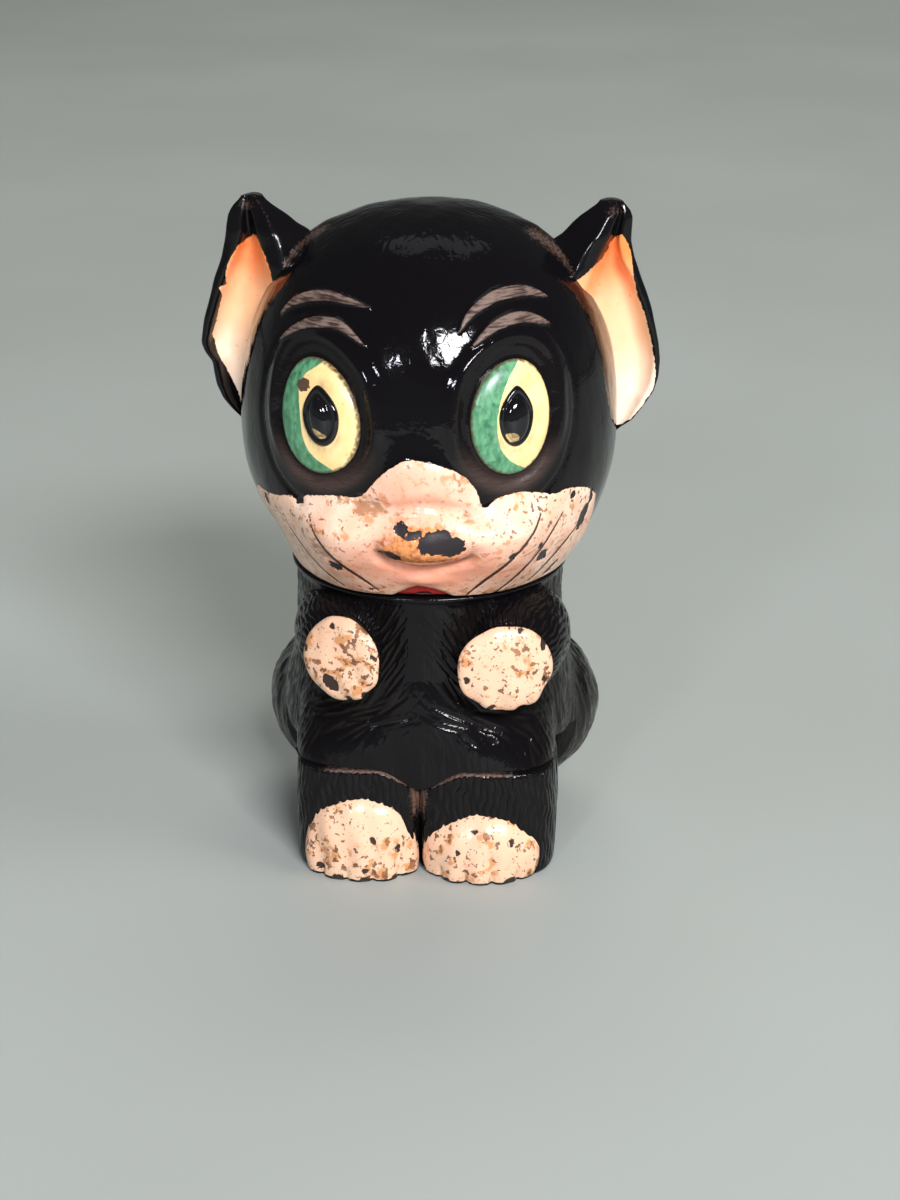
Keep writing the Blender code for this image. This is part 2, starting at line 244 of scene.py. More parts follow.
class Shader:
    """Short names for the nodes of one material."""

    def __init__(self, name):
        self.material = bpy.data.materials.new(name)
        self.material.use_nodes = True
        self.tree = self.material.node_tree
        self.surface = self.tree.nodes["Principled BSDF"]
        coordinates = self.tree.nodes.new("ShaderNodeTexCoord").outputs["Object"]
        self.millimetres = self.vector("SCALE", coordinates, scale=1 / MM)

    def link(self, source, socket):
        if isinstance(source, (int, float)):
            socket.default_value = source
        elif isinstance(source, tuple):
            socket.default_value = (*source, 1.0) if len(source) == 3 and socket.type == "RGBA" else source
        else:
            self.tree.links.new(source, socket)

    def vector(self, operation, first, second=None, scale=None):
        step = self.tree.nodes.new("ShaderNodeVectorMath")
        step.operation = operation
        self.link(first, step.inputs[0])
        if second is not None:
            self.link(second, step.inputs[1])
        if scale is not None:
            step.inputs["Scale"].default_value = scale
        return step.outputs["Vector"]

    def mark(self, name):
        step = self.tree.nodes.new("ShaderNodeAttribute")
        step.attribute_name = name
        return step.outputs["Fac"]

    def noise(self, scale, detail=2.0, stretch=None, shift=(0.0, 0.0, 0.0), warp=0.0):
        """Noise with that many grains in a millimetre."""
        place = self.vector("ADD", self.millimetres, shift)
        if stretch:
            place = self.vector("MULTIPLY", place, stretch)
        step = self.tree.nodes.new("ShaderNodeTexNoise")
        self.link(place, step.inputs["Vector"])
        step.inputs["Scale"].default_value = scale
        step.inputs["Detail"].default_value = detail
        step.inputs["Distortion"].default_value = warp
        return step.outputs["Fac"]

    def maths(self, operation, first, second=0.0, clamp=False):
        step = self.tree.nodes.new("ShaderNodeMath")
        step.operation = operation
        step.use_clamp = clamp
        self.link(first, step.inputs[0])
        self.link(second, step.inputs[1])
        return step.outputs["Value"]

    def times(self, first, second, clamp=False):
        return self.maths("MULTIPLY", first, second, clamp)

    def plus(self, first, second):
        return self.maths("ADD", first, second)

    def minus(self, first, second):
        return self.maths("SUBTRACT", first, second)

    def ramp(self, value, low, high, start=0.0, end=1.0):
        step = self.tree.nodes.new("ShaderNodeMapRange")
        step.interpolation_type = "SMOOTHSTEP"
        for socket, source in zip(step.inputs, (value, low, high, start, end)):
            self.link(source, socket)
        return step.outputs["Result"]

    def edge(self, mark, roughness=0.12, softness=0.05, scale=2.5):
        """1 where a signed distance is positive, with an edge that wanders by about roughness millimetres."""
        wander = self.times(self.minus(self.noise(scale, 3.0), 0.5), 4 * roughness)
        return self.ramp(self.plus(mark, wander), -softness, softness)

    def mix(self, share, first, second):
        step = self.tree.nodes.new("ShaderNodeMix")
        step.data_type = "RGBA"
        self.link(share, step.inputs["Factor"])
        self.link(first, step.inputs[6])
        self.link(second, step.inputs[7])
        return step.outputs[2]

    def blend(self, share, first, second):
        step = self.tree.nodes.new("ShaderNodeMix")
        self.link(share, step.inputs["Factor"])
        self.link(first, step.inputs[2])
        self.link(second, step.inputs[3])
        return step.outputs[0]

    def finish(self, colour, roughness, height, depth=0.05, coat=0.0, specular=0.5):
        """height is in millimetres when depth is 1."""
        bump = self.tree.nodes.new("ShaderNodeBump")
        bump.inputs["Strength"].default_value = 1.0
        bump.inputs["Distance"].default_value = depth * MM
        self.link(height, bump.inputs["Height"])
        self.link(colour, self.surface.inputs["Base Color"])
        self.link(roughness, self.surface.inputs["Roughness"])
        self.link(bump.outputs["Normal"], self.surface.inputs["Normal"])
        self.surface.inputs["Specular IOR Level"].default_value = specular
        self.surface.inputs["Coat Weight"].default_value = coat
        self.surface.inputs["Coat Roughness"].default_value = 0.08
        return self.material


BLACK = (0.0035, 0.003, 0.0035)
SOOT = (0.008, 0.006, 0.005)
WORN_BROWN = (0.13, 0.066, 0.042)
WORN_GREY = (0.105, 0.075, 0.062)
CREAM = (0.91, 0.68, 0.51)
PAD_CREAM = (0.74, 0.50, 0.33)
PAD_CHIP = (0.030, 0.017, 0.011)
PEACH = (0.84, 0.48, 0.31)
RUST = (0.56, 0.24, 0.075)
DARK_STAIN = (0.115, 0.048, 0.024)
CHIP = (0.022, 0.018, 0.020)


def black_enamel(shade, gloss):
    """Colour, roughness and height of the black, dusty in its grooves and worn at its wear marks."""
    cloud = shade.noise(0.25, 4.0)
    fine = shade.noise(2.6, 4.0)
    groove = shade.ramp(shade.mark("groove"), 0.06, 0.20)
    colour = shade.mix(groove, BLACK, SOOT)
    patchy = shade.times(shade.minus(fine, 0.5), 0.9)
    wear = shade.plus(shade.mark("wear"), patchy)
    worn = shade.ramp(wear, 0.3, 0.9)
    brown = shade.mix(shade.ramp(cloud, 0.35, 0.65), WORN_BROWN, WORN_GREY)
    colour = shade.mix(worn, colour, brown)
    dull = shade.times(groove, 0.06)
    rough = shade.plus(shade.ramp(cloud, 0.3, 0.7, gloss * 0.8, gloss * 1.25), dull)
    rough = shade.blend(worn, rough, 0.55)
    brushed = shade.noise(0.8, 2.0, warp=0.8)
    height = shade.plus(brushed, shade.times(fine, 0.12))
    return colour, rough, height


def cream_enamel(shade, base, spots=1.0, shift=(0.0, 0.0, 0.0)):
    """Colour and roughness of the cream, with rusty stains, specks and chips down to the black."""
    tint = shade.noise(0.3, 3.0, shift=shift)
    colour = shade.mix(shade.ramp(tint, 0.3, 0.7, 0.0, 0.8), base, PEACH)
    region = shade.noise(0.22, 2.0, shift=(shift[0] + 40.0, 3.0, 7.0))
    crowd = shade.ramp(region, 0.35, 0.65, 0.0, 0.10 * spots)
    rust = shade.plus(shade.noise(0.62, 4.0, shift=(shift[0] + 9.0, 1.0, 2.0)), crowd)
    rust = shade.ramp(rust, 0.615, 0.71)
    colour = shade.mix(shade.times(rust, 0.85), colour, RUST)
    speckle = shade.plus(shade.noise(1.25, 4.0, shift=(shift[0] + 20.0, 5.0, 1.0)), crowd)
    speck = shade.ramp(speckle, 0.648, 0.685)
    brown = shade.mix(shade.ramp(shade.noise(0.7, 1.0), 0.4, 0.6), DARK_STAIN, (0.27, 0.105, 0.035))
    colour = shade.mix(shade.times(speck, 0.9), colour, brown)
    pit = shade.ramp(shade.noise(2.7, 2.0, shift=(shift[0] + 60.0, 5.0, 1.0)), 0.66, 0.70)
    colour = shade.mix(shade.times(pit, 0.75), colour, DARK_STAIN)
    rough = shade.blend(shade.maths("MAXIMUM", speck, rust), 0.21, 0.45)
    return colour, rough, speck


def make_black(name, gloss):
    shade = Shader(name)
    colour, rough, height = black_enamel(shade, gloss)
    fur = shade.noise(1.5, 2.0, stretch=(1.0, 1.0, 0.13), warp=0.3)
    height = shade.plus(height, shade.times(fur, 3.2))
    return shade.finish(colour, rough, height, 0.03, specular=0.23)


def make_pad(name, shift):
    """Cream paint over the black, chipped along the edge of the pad and at the marked chips."""
    shade = Shader(name)
    black, black_rough, height = black_enamel(shade, 0.2)
    cream, cream_rough, speck = cream_enamel(shade, PAD_CREAM, 1.1, shift)
    cover = shade.edge(shade.mark("cream"), 0.10, 0.05, 1.9)
    chip = shade.edge(shade.mark("chip"), 0.22, 0.05, 2.0)
    colour = shade.mix(cover, black, cream)
    rough = shade.blend(cover, black_rough, cream_rough)
    colour = shade.mix(chip, colour, PAD_CHIP)
    rough = shade.blend(chip, rough, 0.5)
    raised = shade.minus(cover, shade.maths("MAXIMUM", chip, speck))
    height = shade.plus(shade.times(raised, 1.5), shade.times(height, 0.8))
    return shade.finish(colour, rough, height, 0.04)


def make_head_paint():
    """Black above; a cream muzzle with a pink snout, an orange nose, whiskers, a red mouth and chips, with
    painted shade in its fold and creases.
    """
    shade = Shader("head_paint")
    black, black_rough, height = black_enamel(shade, 0.07)
    hair = shade.noise(1.7, 3.0, stretch=(0.22, 0.22, 2.4), warp=0.3)
    lid = shade.times(shade.mark("lid"), shade.ramp(hair, 0.2, 0.6, 0.55, 1.0))
    black = shade.mix(lid, black, (0.070, 0.046, 0.038))
    black_rough = shade.blend(lid, black_rough, 0.38)
    brow = shade.edge(shade.mark("brow"), 0.05, 0.10, 1.5)
    patch = shade.plus(hair, shade.times(shade.noise(0.55, 2.0), 0.5))
    worn = shade.mix(shade.ramp(patch, 0.60, 0.86), (0.042, 0.026, 0.022), (0.18, 0.125, 0.100))
    black = shade.mix(brow, black, worn)
    black_rough = shade.blend(brow, black_rough, 0.36)
    cream, cream_rough, _ = cream_enamel(shade, CREAM, 0.6)
    pink = shade.ramp(shade.noise(0.5, 3.0, shift=(3.0, 9.0, 4.0)), 0.2, 0.8, 0.7, 1.15)
    pink = shade.times(shade.mark("pink"), pink, clamp=True)
    cream = shade.mix(pink, cream, (0.92, 0.36, 0.23))
    patchy = shade.times(shade.noise(0.9, 5.0), 0.9)
    smear = shade.noise(1.3, 5.0, stretch=(0.7, 0.7, 1.3), shift=(7.0, 2.0, 5.0))
    smear = shade.plus(shade.mark("stain"), shade.times(smear, 1.3))
    smear = shade.ramp(smear, 1.0, 1.35)
    cream = shade.mix(shade.times(smear, 0.8), cream, (0.34, 0.15, 0.060))
    orange = shade.ramp(shade.plus(shade.mark("nose"), patchy), 0.72, 1.0)
    rusty = shade.mix(shade.ramp(shade.noise(1.5, 3.0), 0.38, 0.62), (0.78, 0.30, 0.09), (0.40, 0.12, 0.035))
    cream = shade.mix(shade.times(orange, 0.9), cream, rusty)
    # Painted shade: the fold over the snout and the creases round the nose are darkened to dark brown.
    cream = shade.mix(shade.mark("crease_shade"), cream, (0.12, 0.045, 0.025))
    whisker = shade.edge(shade.mark("whisker"), 0.04, 0.05, 2.5)
    cream = shade.mix(shade.times(whisker, 0.95), cream, (0.035, 0.015, 0.010))
    red = shade.edge(shade.mark("mouth"), 0.06, 0.06)
    cream = shade.mix(red, cream, (0.42, 0.025, 0.022))
    cover = shade.edge(shade.mark("cream"), 0.10, 0.05, 1.9)
    chip = shade.edge(shade.mark("chip"), 0.31, 0.05, 1.5)
    colour = shade.mix(chip, shade.mix(cover, black, cream), CHIP)
    cream_rough = shade.times(cream_rough, 0.7)
    rough = shade.blend(chip, shade.blend(cover, black_rough, cream_rough), 0.35)
    paint = shade.minus(cover, chip)
    height = shade.plus(shade.times(paint, 1.6), height)
    return shade.finish(colour, rough, height, 0.040, specular=0.27)


def make_ear_paint():
    """Black outside; inside it goes from orange at the tip to cream at the lobe."""
    shade = Shader("ear_paint")
    black, black_rough, height = black_enamel(shade, 0.15)
    cloud = shade.times(shade.minus(shade.noise(0.22, 3.0), 0.5), 0.35)
    climb = shade.plus(shade.mark("climb"), cloud)
    pale = shade.mix(shade.ramp(climb, 0.08, 0.60), (0.93, 0.74, 0.57), (0.93, 0.56, 0.31))
    pale = shade.mix(shade.ramp(climb, 0.55, 0.98), pale, (0.92, 0.25, 0.065))
    speck = shade.ramp(shade.noise(1.5, 3.0), 0.70, 0.74)
    pale = shade.mix(shade.times(speck, 0.7), pale, DARK_STAIN)
    cover = shade.edge(shade.mark("cream"), 0.11, 0.05, 1.9)
    colour = shade.mix(cover, black, pale)
    rough = shade.blend(cover, black_rough, 0.3)
    height = shade.plus(shade.times(cover, 1.5), height)
    return shade.finish(colour, rough, height, 0.03, specular=0.3)


def make_eye_paint():
    """A yellow eye with a green crescent on the left, brushed on, grime towards the edge, and painted shade
    round the foot of the pupil.
    """
    shade = Shader("eye_paint")
    brush = shade.noise(1.5, 4.0, stretch=(1.0, 1.0, 0.5))
    soft = shade.noise(0.35, 2.0, shift=(4.0, 0.0, 2.0))
    yellow = shade.mix(shade.ramp(soft, 0.3, 0.7), (0.90, 0.60, 0.25), (0.91, 0.72, 0.34))
    green = shade.mix(shade.ramp(brush, 0.3, 0.7), (0.050, 0.20, 0.095), (0.135, 0.36, 0.185))
    dark = shade.ramp(shade.noise(0.8, 4.0), 0.52, 0.72, 0.0, 0.8)
    green = shade.mix(dark, green, (0.022, 0.105, 0.050))
    side = shade.edge(shade.mark("green"), 0.07, 0.07, 1.5)
    colour = shade.mix(side, yellow, green)
    grime = shade.plus(shade.mark("edge"), shade.times(shade.noise(1.6, 3.0), 0.9))
    colour = shade.mix(shade.ramp(grime, 1.0, 1.6), colour, (0.10, 0.065, 0.035))
    # Painted shade round the foot of the raised pupil, strongest below it, and a darker spot at the pupil's
    # top right.
    darkening_by_pupil = shade.times(shade.mark("darkening_by_pupil"), shade.ramp(brush, 0.25, 0.7))
    colour = shade.mix(darkening_by_pupil, colour, (0.24, 0.16, 0.10))
    chip = shade.edge(shade.mark("chip"), 0.2, 0.05)
    colour = shade.mix(chip, colour, (0.095, 0.052, 0.030))
    speck = shade.ramp(shade.noise(2.4, 2.0), 0.70, 0.76)
    colour = shade.mix(shade.times(speck, 0.8), colour, DARK_STAIN)
    height = shade.minus(shade.times(brush, 0.5), shade.plus(chip, side))
    return shade.finish(colour, 0.3, height, 0.02)


def make_pupil_paint():
    shade = Shader("pupil_paint")
    glint = shade.edge(shade.mark("glint"), 0.06, 0.05)
    gold = shade.mix(shade.ramp(shade.noise(1.2, 2.0), 0.4, 0.6), (0.30, 0.20, 0.09), (0.56, 0.40, 0.17))
    colour = shade.mix(glint, (0.004, 0.004, 0.005), gold)
    return shade.finish(colour, 0.07, shade.noise(0.8, 2.0), 0.015, 0.2)


def make_cork():
    shade = Shader("pressed_cork")
    grain = shade.noise(1.0, 5.0)
    colour = shade.mix(shade.ramp(grain, 0.35, 0.65), (0.19, 0.10, 0.045), (0.50, 0.31, 0.16))
    pit = shade.ramp(shade.noise(0.9, 2.0, shift=(5.0, 5.0, 5.0)), 0.62, 0.68)
    colour = shade.mix(pit, colour, (0.06, 0.03, 0.015))
    height = shade.minus(grain, pit)
    return shade.finish(colour, 0.85, height, 0.15)


# ---------------------------------------------------------------- head

def head_radius(height):
    rise = np.abs(height - HEAD_Z) / HEAD_HALF
    power = np.where(height > HEAD_Z, CROWN_SQUARENESS, 2.0)
    return HEAD_RADIUS * np.maximum(1 - rise**power, 0) ** (1 / power)


def head_meridian():
    """Rise, radius, height and slope of the head's plain surface, from the seat to the crown.

    Rise is length along the surface, 0 at the widest level.
    """
    turn = np.linspace(math.acos((HEAD_SEAT - HEAD_Z) / HEAD_HALF), 0.0, 900)
    height = HEAD_Z + HEAD_HALF * np.cos(turn)
    radius = head_radius(height)
    rise = np.concatenate([[0], np.cumsum(np.hypot(np.diff(height), np.diff(radius)))])
    rise -= np.interp(HEAD_Z, height, rise)
    return rise, radius, height, np.gradient(radius, rise), np.gradient(height, rise)


RISE, RISE_RADIUS, RISE_HEIGHT, RISE_IN, RISE_UP = head_meridian()


def on_head(azimuth, rise, proud):
    """Points a height proud of the head's plain surface, and the way out there."""
    radius = np.interp(rise, RISE, RISE_RADIUS)
    outward_part = np.interp(rise, RISE, RISE_UP)
    upward_part = -np.interp(rise, RISE, RISE_IN)
    out = np.stack([np.sin(azimuth) * outward_part, -np.cos(azimuth) * outward_part, upward_part], axis=-1)
    height = np.interp(rise, RISE, RISE_HEIGHT)
    base = np.stack([radius * np.sin(azimuth), -radius * np.cos(azimuth), height], axis=-1)
    return base + out * np.asarray(proud)[..., None], out


def flat(points):
    """Front elevation (x, height) points as (arc, rise) on the head's surface."""
    x, height = np.asarray(points, float).T
    rise = np.interp(height, RISE_HEIGHT, RISE)
    radius = head_radius(height)
    return np.stack([radius * np.arcsin(np.clip(x / radius, -1, 1)), rise], axis=-1)


EYES = {  # centre, half width, half height, tilt on the face, how much narrower the top is
    "left": (flat([(-12.45, 65.4)])[0], 6.0, 7.35, 0.11, 0.09),
    "right": (flat([(12.1, 65.8)])[0], 5.55, 7.3, 0.0, 0.02),
}

BROWS = [  # middle line in front elevation, greatest half width, height
    ([(-17.9, 76.0), (-16.3, 77.6), (-14.1, 78.8), (-11.5, 79.4), (-9.0, 79.3), (-5.6, 78.8)], 0.66, 0.50),
    ([(-17.5, 73.2), (-15.9, 74.7), (-13.8, 76.0), (-11.2, 76.6), (-9.1, 76.4), (-6.2, 74.6)], 0.72, 0.60),
    ([(5.4, 76.4), (6.5, 78.1), (7.8, 79.1), (9.7, 79.9), (11.9, 80.1), (13.8, 79.8), (15.8, 78.9)],
     0.80, 0.50),
    ([(6.9, 74.6), (8.8, 76.2), (10.2, 76.9), (12.1, 77.3), (14.0, 77.0), (16.3, 76.0)], 0.74, 0.60),
]

MUZZLE_TOP = [
    (-22.6, 51.2), (-21.8, 52.5), (-20.9, 52.4), (-18.8, 52.9), (-16.3, 53.8), (-15.0, 53.2), (-14.2, 54.5),
    (-11.9, 55.2), (-9.3, 55.6), (-7.1, 55.6), (-5.5, 57.2), (-3.9, 59.1), (-2.3, 60.4), (-0.5, 61.2),
    (1.9, 60.9), (4.3, 60.1), (6.4, 58.8), (7.8, 56.6), (8.5, 54.6), (10.3, 55.6), (12.4, 56.0), (14.5, 55.7),
    (17.2, 54.6), (19.1, 54.7), (21.5, 53.6), (22.7, 51.5),
]

WHISKERS = [  # ends in front elevation
    [(-17.4, 49.8), (-14.0, 45.8), (-9.6, 41.4)],
    [(-12.8, 52.6), (-9.4, 48.0), (-5.1, 41.5)],
    [(15.2, 52.9), (10.9, 48.0), (6.2, 40.8)],
    [(18.2, 51.7), (14.2, 46.7), (9.7, 40.6)],
    [(20.2, 48.2), (17.3, 45.2), (13.8, 41.3)],
]

FACE_CHIPS = [  # centre in front elevation, half width, half height, tilt
    (-9.6, 46.3, 0.95, 1.0, 0.3), (11.3, 48.8, 0.7, 0.6, 0.0), (15.4, 46.2, 0.95, 1.1, -0.5),
    (20.9, 49.2, 1.0, 2.2, -0.45), (2.6, 51.7, 2.0, 1.35, 0.1), (4.4, 51.0, 1.5, 1.3, 0.0),
    (-2.8, 49.4, 1.45, 0.85, 0.1), (-1.3, 53.0, 0.85, 0.8, -0.7), (0.1, 52.5, 0.9, 0.4, 0.5),
    (1.1, 47.2, 0.85, 0.55, 0.2), (-14.9, 53.9, 0.7, 0.8, 0.0), (16.8, 42.2, 1.9, 0.5, 0.7),
    (0.8, 40.7, 0.9, 0.4, 0.0), (-6.0, 41.6, 0.5, 0.3, 0.3), (14.9, 48.4, 0.4, 0.6, -0.6),
    (-20.4, 51.4, 0.5, 0.9, 0.3), (19.6, 53.6, 0.5, 0.6, 0.0), (22.0, 52.0, 0.5, 1.2, -0.2),
]

FACE_STAINS = [  # middle in front elevation, half width, half height, strength
    (-5.6, 54.6, 3.4, 1.3, 0.75), (-8.8, 55.0, 2.0, 0.8, 0.55), (-11.2, 48.6, 2.6, 2.4, 0.60),
    (-18.6, 50.6, 2.6, 1.8, 0.50), (-1.6, 54.2, 3.6, 0.8, 0.45), (6.8, 53.6, 1.6, 1.6, 0.55),
    (13.8, 48.2, 2.4, 2.2, 0.42), (18.0, 46.8, 2.6, 3.0, 0.50), (5.6, 57.8, 1.2, 2.2, 0.45),
    (2.0, 46.6, 4.4, 1.2, 0.40), (-4.0, 42.4, 3.0, 1.0, 0.45), (12.6, 43.0, 3.0, 1.2, 0.45),
    (-6.0, 41.2, 3.6, 0.9, 0.62), (10.6, 41.0, 3.2, 0.8, 0.55), (-15.6, 45.6, 2.0, 2.4, 0.5),
]


def eye_relief(arc, rise, side):
    """The flat bed that an eye lies in, the hollow band round it, and the lip outside that."""
    centre, wide, tall, tilt, egg = EYES[side]
    edge = -oval(arc - centre[0], rise - centre[1], wide, tall, tilt, egg)
    bed = -0.45 * smoothstep(-edge, -1.9, -0.2)
    away = 2.0 + 0.8 * smoothstep(rise - centre[1], 0, tall)
    lip = 0.55 * np.exp(-(((edge - away) / np.where(edge > away, 1.2, 0.55)) ** 2))
    lip *= 1 - 0.6 * smoothstep(centre[1] - rise, 0.2 * tall, tall)
    beside = smoothstep(np.abs(arc) - abs(centre[0]), 0.5, 4.0)
    fold = 0.30 * np.exp(-(((edge - 4.9) / 0.4) ** 2)) * beside
    return bed + lip - fold, edge


def face_relief(arc, rise, x, height):
    """How far the face stands proud of the plain head, and the marks that say where its paint goes."""
    far = np.full(arc.shape, -9.0)
    marks = {name: far.copy() for name in ("brow", "whisker", "mouth", "chip", "cream")}
    marks.update({name: np.zeros(arc.shape) for name in ("pink", "nose", "crease_shade", "wear", "lid", "stain")})
    proud = np.zeros(arc.shape)

    for side in EYES:
        bed, edge = eye_relief(arc, rise, side)
        proud += bed
        centre, _, tall, _, _ = EYES[side]
        below = smoothstep(centre[1] - rise, 0.3 * tall, 1.15 * tall)
        band = np.exp(-(((edge - 1.5) / 1.15) ** 2))
        marks["lid"] = np.maximum(marks["lid"], (0.03 + 0.75 * below) * band)

    for line, width, tall in BROWS:
        distance, along = to_line(arc, rise, spline(flat(line)))
        half = width * np.sin(np.pi * np.clip(along, 0.02, 0.98)) ** 0.8
        profile = np.clip(1 - (distance / np.maximum(half * 1.7, 0.05)) ** 2, 0, 1) ** 0.8
        proud += tall * profile
        marks["brow"] = np.maximum(marks["brow"], half - distance)

    top = spline(flat(MUZZLE_TOP), 160)
    low = RISE[0] - 4
    outline = np.vstack([top, [[top[-1][0] + 3, low], [top[0][0] - 3, low]]])
    marks["cream"] = within(arc, rise, outline)
    proud += 0.20 * smoothstep(marks["cream"], -0.3, 0.7)
    for middle in (-9.2, 10.4):
        tall = np.where(height > 51.2, 2.5, 7.2)
        proud += 3.1 * mound(x - middle, height - 51.2, 5.5, tall)
    proud += 1.4 * mound(x - 0.9, height - 57.2, 5.4, 4.2)
    proud += 2.3 * mound(x - 0.9, height - 50.7, 6.0, 3.7)
    proud += 1.2 * mound(x - 1.1, height - 50.3, 4.2, 2.4)
    proud -= 1.2 * np.exp(-(((arc + 29.0) / 11.0) ** 2)) * np.exp(-(((height - 44.5) / 5.0) ** 2))
    fold = flat([(-6.9, 55.3), (-3.0, 55.0), (1.3, 55.8), (4.9, 54.9), (7.8, 53.7)])
    fold = to_line(arc, rise, spline(fold))[0]
    proud -= 0.60 * np.exp(-((fold / 0.85) ** 2))
    # Painted shade: a faint dark line along the fold over the snout, and a strong one in the creases round the
    # nose.
    marks["crease_shade"] = 0.16 * np.exp(-((fold / 0.5) ** 2))
    for line in (
        [(-4.3, 50.6), (-4.0, 48.6), (-2.6, 47.2), (-0.6, 46.5), (1.0, 46.1)],
        [(1.6, 46.2), (3.2, 46.9), (5.0, 47.5), (6.3, 48.4), (6.8, 50.0)],
    ):
        distance, along = to_line(arc, rise, spline(flat(line)))
        fade = np.sin(np.pi * np.clip(along, 0.05, 0.95)) ** 0.5
        proud -= 1.15 * fade * np.exp(-((distance / 0.85) ** 2))
        marks["crease_shade"] = np.maximum(marks["crease_shade"], 0.80 * fade * np.exp(-((distance / 0.42) ** 2)))
    mouth = flat([
        (-2.9, 40.8), (-1.4, 41.8), (0.1, 42.6), (2.1, 42.0), (3.9, 41.0), (4.3, 38.8), (-2.9, 38.8),
    ])
    marks["mouth"] = within(arc, rise, mouth)
    proud -= 0.35 * smoothstep(marks["mouth"], -0.7, 0.5)
    proud += 0.7 * mound(x - 0.8, height - 44.2, 2.8, 1.3)
    for cx, cz, wide, tall, strength in FACE_STAINS:
        marks["stain"] = np.maximum(marks["stain"], strength * mound(x - cx, height - cz, wide, tall))

    for line in WHISKERS:
        distance, along = to_line(arc, rise, spline(flat(line), 24))
        half = 0.29 * np.sin(np.pi * np.clip(along, 0.06, 0.94)) ** 0.4
        marks["whisker"] = np.maximum(marks["whisker"], half - distance)
        proud -= 0.09 * np.exp(-((distance / 0.22) ** 2))
    for cx, cz, wide, tall, tilt in FACE_CHIPS:
        centre = flat([(cx, cz)])[0]
        marks["chip"] = np.maximum(marks["chip"], oval(arc - centre[0], rise - centre[1], wide, tall, tilt))
    proud -= 0.10 * smoothstep(marks["chip"], -0.15, 0.15)

    snout = 0.80 * mound(x - 1.0, height - 57.6, 6.4, 4.0)
    chin = 1.15 * mound(x - 1.2, height - 47.4, 8.4, 5.4)
    cheeks = 0.25 * mound(np.abs(x) - 12.0, height - 46.0, 8.0, 5.0)
    marks["pink"] = np.clip(snout + chin + cheeks, 0, 1)
    marks["nose"] = mound(x - 1.0, height - 50.5, 4.9, 3.0)
    return proud, marks


def ear_roots(points, low, high):
    """Distance to the two curves where the ears leave the head, between two heights."""
    nearest = np.full(points.shape[:-1], 1e9)
    for side in (-1, 1):
        for height in np.arange(low, high, 0.8):
            radius = float(head_radius(np.array(height)))
            y = -3.4 + 0.05 * (height - 60)
            root = np.array([side * math.sqrt(max(radius**2 - y**2, 0)), y, height])
            nearest = np.minimum(nearest, np.linalg.norm(points - root, axis=-1))
    return nearest


def crown_strokes():
    strokes = []
    for rise in np.arange(13.0, 38.0, 1.9):
        radius = float(np.interp(rise, RISE, RISE_RADIUS))
        for azimuth in np.arange(-math.pi, math.pi, 1.15 / max(radius, 3)):
            place = azimuth + random.normal(0, 0.3) / max(radius, 3), rise + random.normal(0, 0.5)
            strokes.append((*place, random.normal(0, 0.35), 1.1, 0.20, 0.035))
    return strokes


def make_head(material):
    azimuths = front_dense(372, 0.46)
    rises = np.linspace(RISE[0], RISE[-1] - 0.25, 222)
    azimuth, rise = np.meshgrid(azimuths, rises)
    plain, out = on_head(azimuth, rise, np.zeros(azimuth.shape))
    arc = np.interp(rise, RISE, RISE_RADIUS) * azimuth
    proud, marks = face_relief(arc, rise, plain[..., 0], plain[..., 2])
    facing = plain[..., 1] < 3
    proud = np.where(facing, proud, 0)
    for name in marks:
        marks[name] = np.where(facing, marks[name], marks[name].min())

    painted = smoothstep(marks["cream"], -1.2, 0.2)
    groove = -comb(azimuths, rises, np.interp(rises, RISE, RISE_RADIUS), crown_strokes())
    groove *= (1 - painted) * smoothstep(rise, 17, 23)
    swell = 0.07 * waver(plain, 3.6) + 0.014 * waver(plain, 1.3, 5.0)
    proud = proud - groove + swell * (1 - 0.45 * painted)
    marks["groove"] = groove * 0.6
    # Brown along the ear roots: worn paint, and lower down the side of the head it is also a painted
    # reflection of the orange ears.
    seam = ear_roots(plain, 60.0, 84.0)
    marks["wear"] = np.maximum(marks["wear"], 0.40 * np.exp(-((seam / 2.0) ** 2)))
    fillet = ear_roots(plain - (0, 2.4, 0), 80.5, 84.8)
    proud += 0.5 * np.exp(-((fillet / 2.6) ** 2))
    edge_wear = ear_roots(plain, 74.0, 84.8)
    marks["wear"] = np.maximum(marks["wear"], 0.62 * np.exp(-((edge_wear / 2.6) ** 2)))
    rim = smoothstep(rises[:, None], RISE[0] + 0.7, RISE[0])
    outer = plain + out * (proud - 0.35 * rim**2)[..., None]

    seat_radius = RISE_RADIUS[0] - 0.5
    inner = [(seat_radius, HEAD_SEAT), (seat_radius - 3, HEAD_SEAT), (SPIGOT_RADIUS, HEAD_SEAT)]
    inner += [(SPIGOT_RADIUS, SPIGOT_LOW + 0.4), (SPIGOT_RADIUS - 0.4, SPIGOT_LOW)]
    inner += [(SPIGOT_BORE, SPIGOT_LOW), (SPIGOT_BORE, HEAD_SEAT + HEAD_WALL)]
    for turn in np.linspace(2.05, 0.15, 12):
        height = HEAD_Z + (HEAD_HALF - HEAD_WALL) * math.cos(turn)
        inner.append((float(head_radius(np.array(height))) - HEAD_WALL, height))
    hidden = turned(reversed(inner), azimuths)
    rings = np.concatenate([hidden, outer])
    for name, values in marks.items():
        fill = values.min() if name in ("brow", "whisker", "mouth", "chip", "cream") else 0.0
        marks[name] = np.concatenate([np.full((len(inner), len(azimuths)), fill), values])
    low_pole = (0, 0, HEAD_Z + HEAD_HALF - HEAD_WALL)
    top_pole = outer[-1].mean(axis=0) + (0, 0, 0.02)
    skin("cat_head", rings, low_pole, top_pole, "head", material, marks, ["head_shell"])


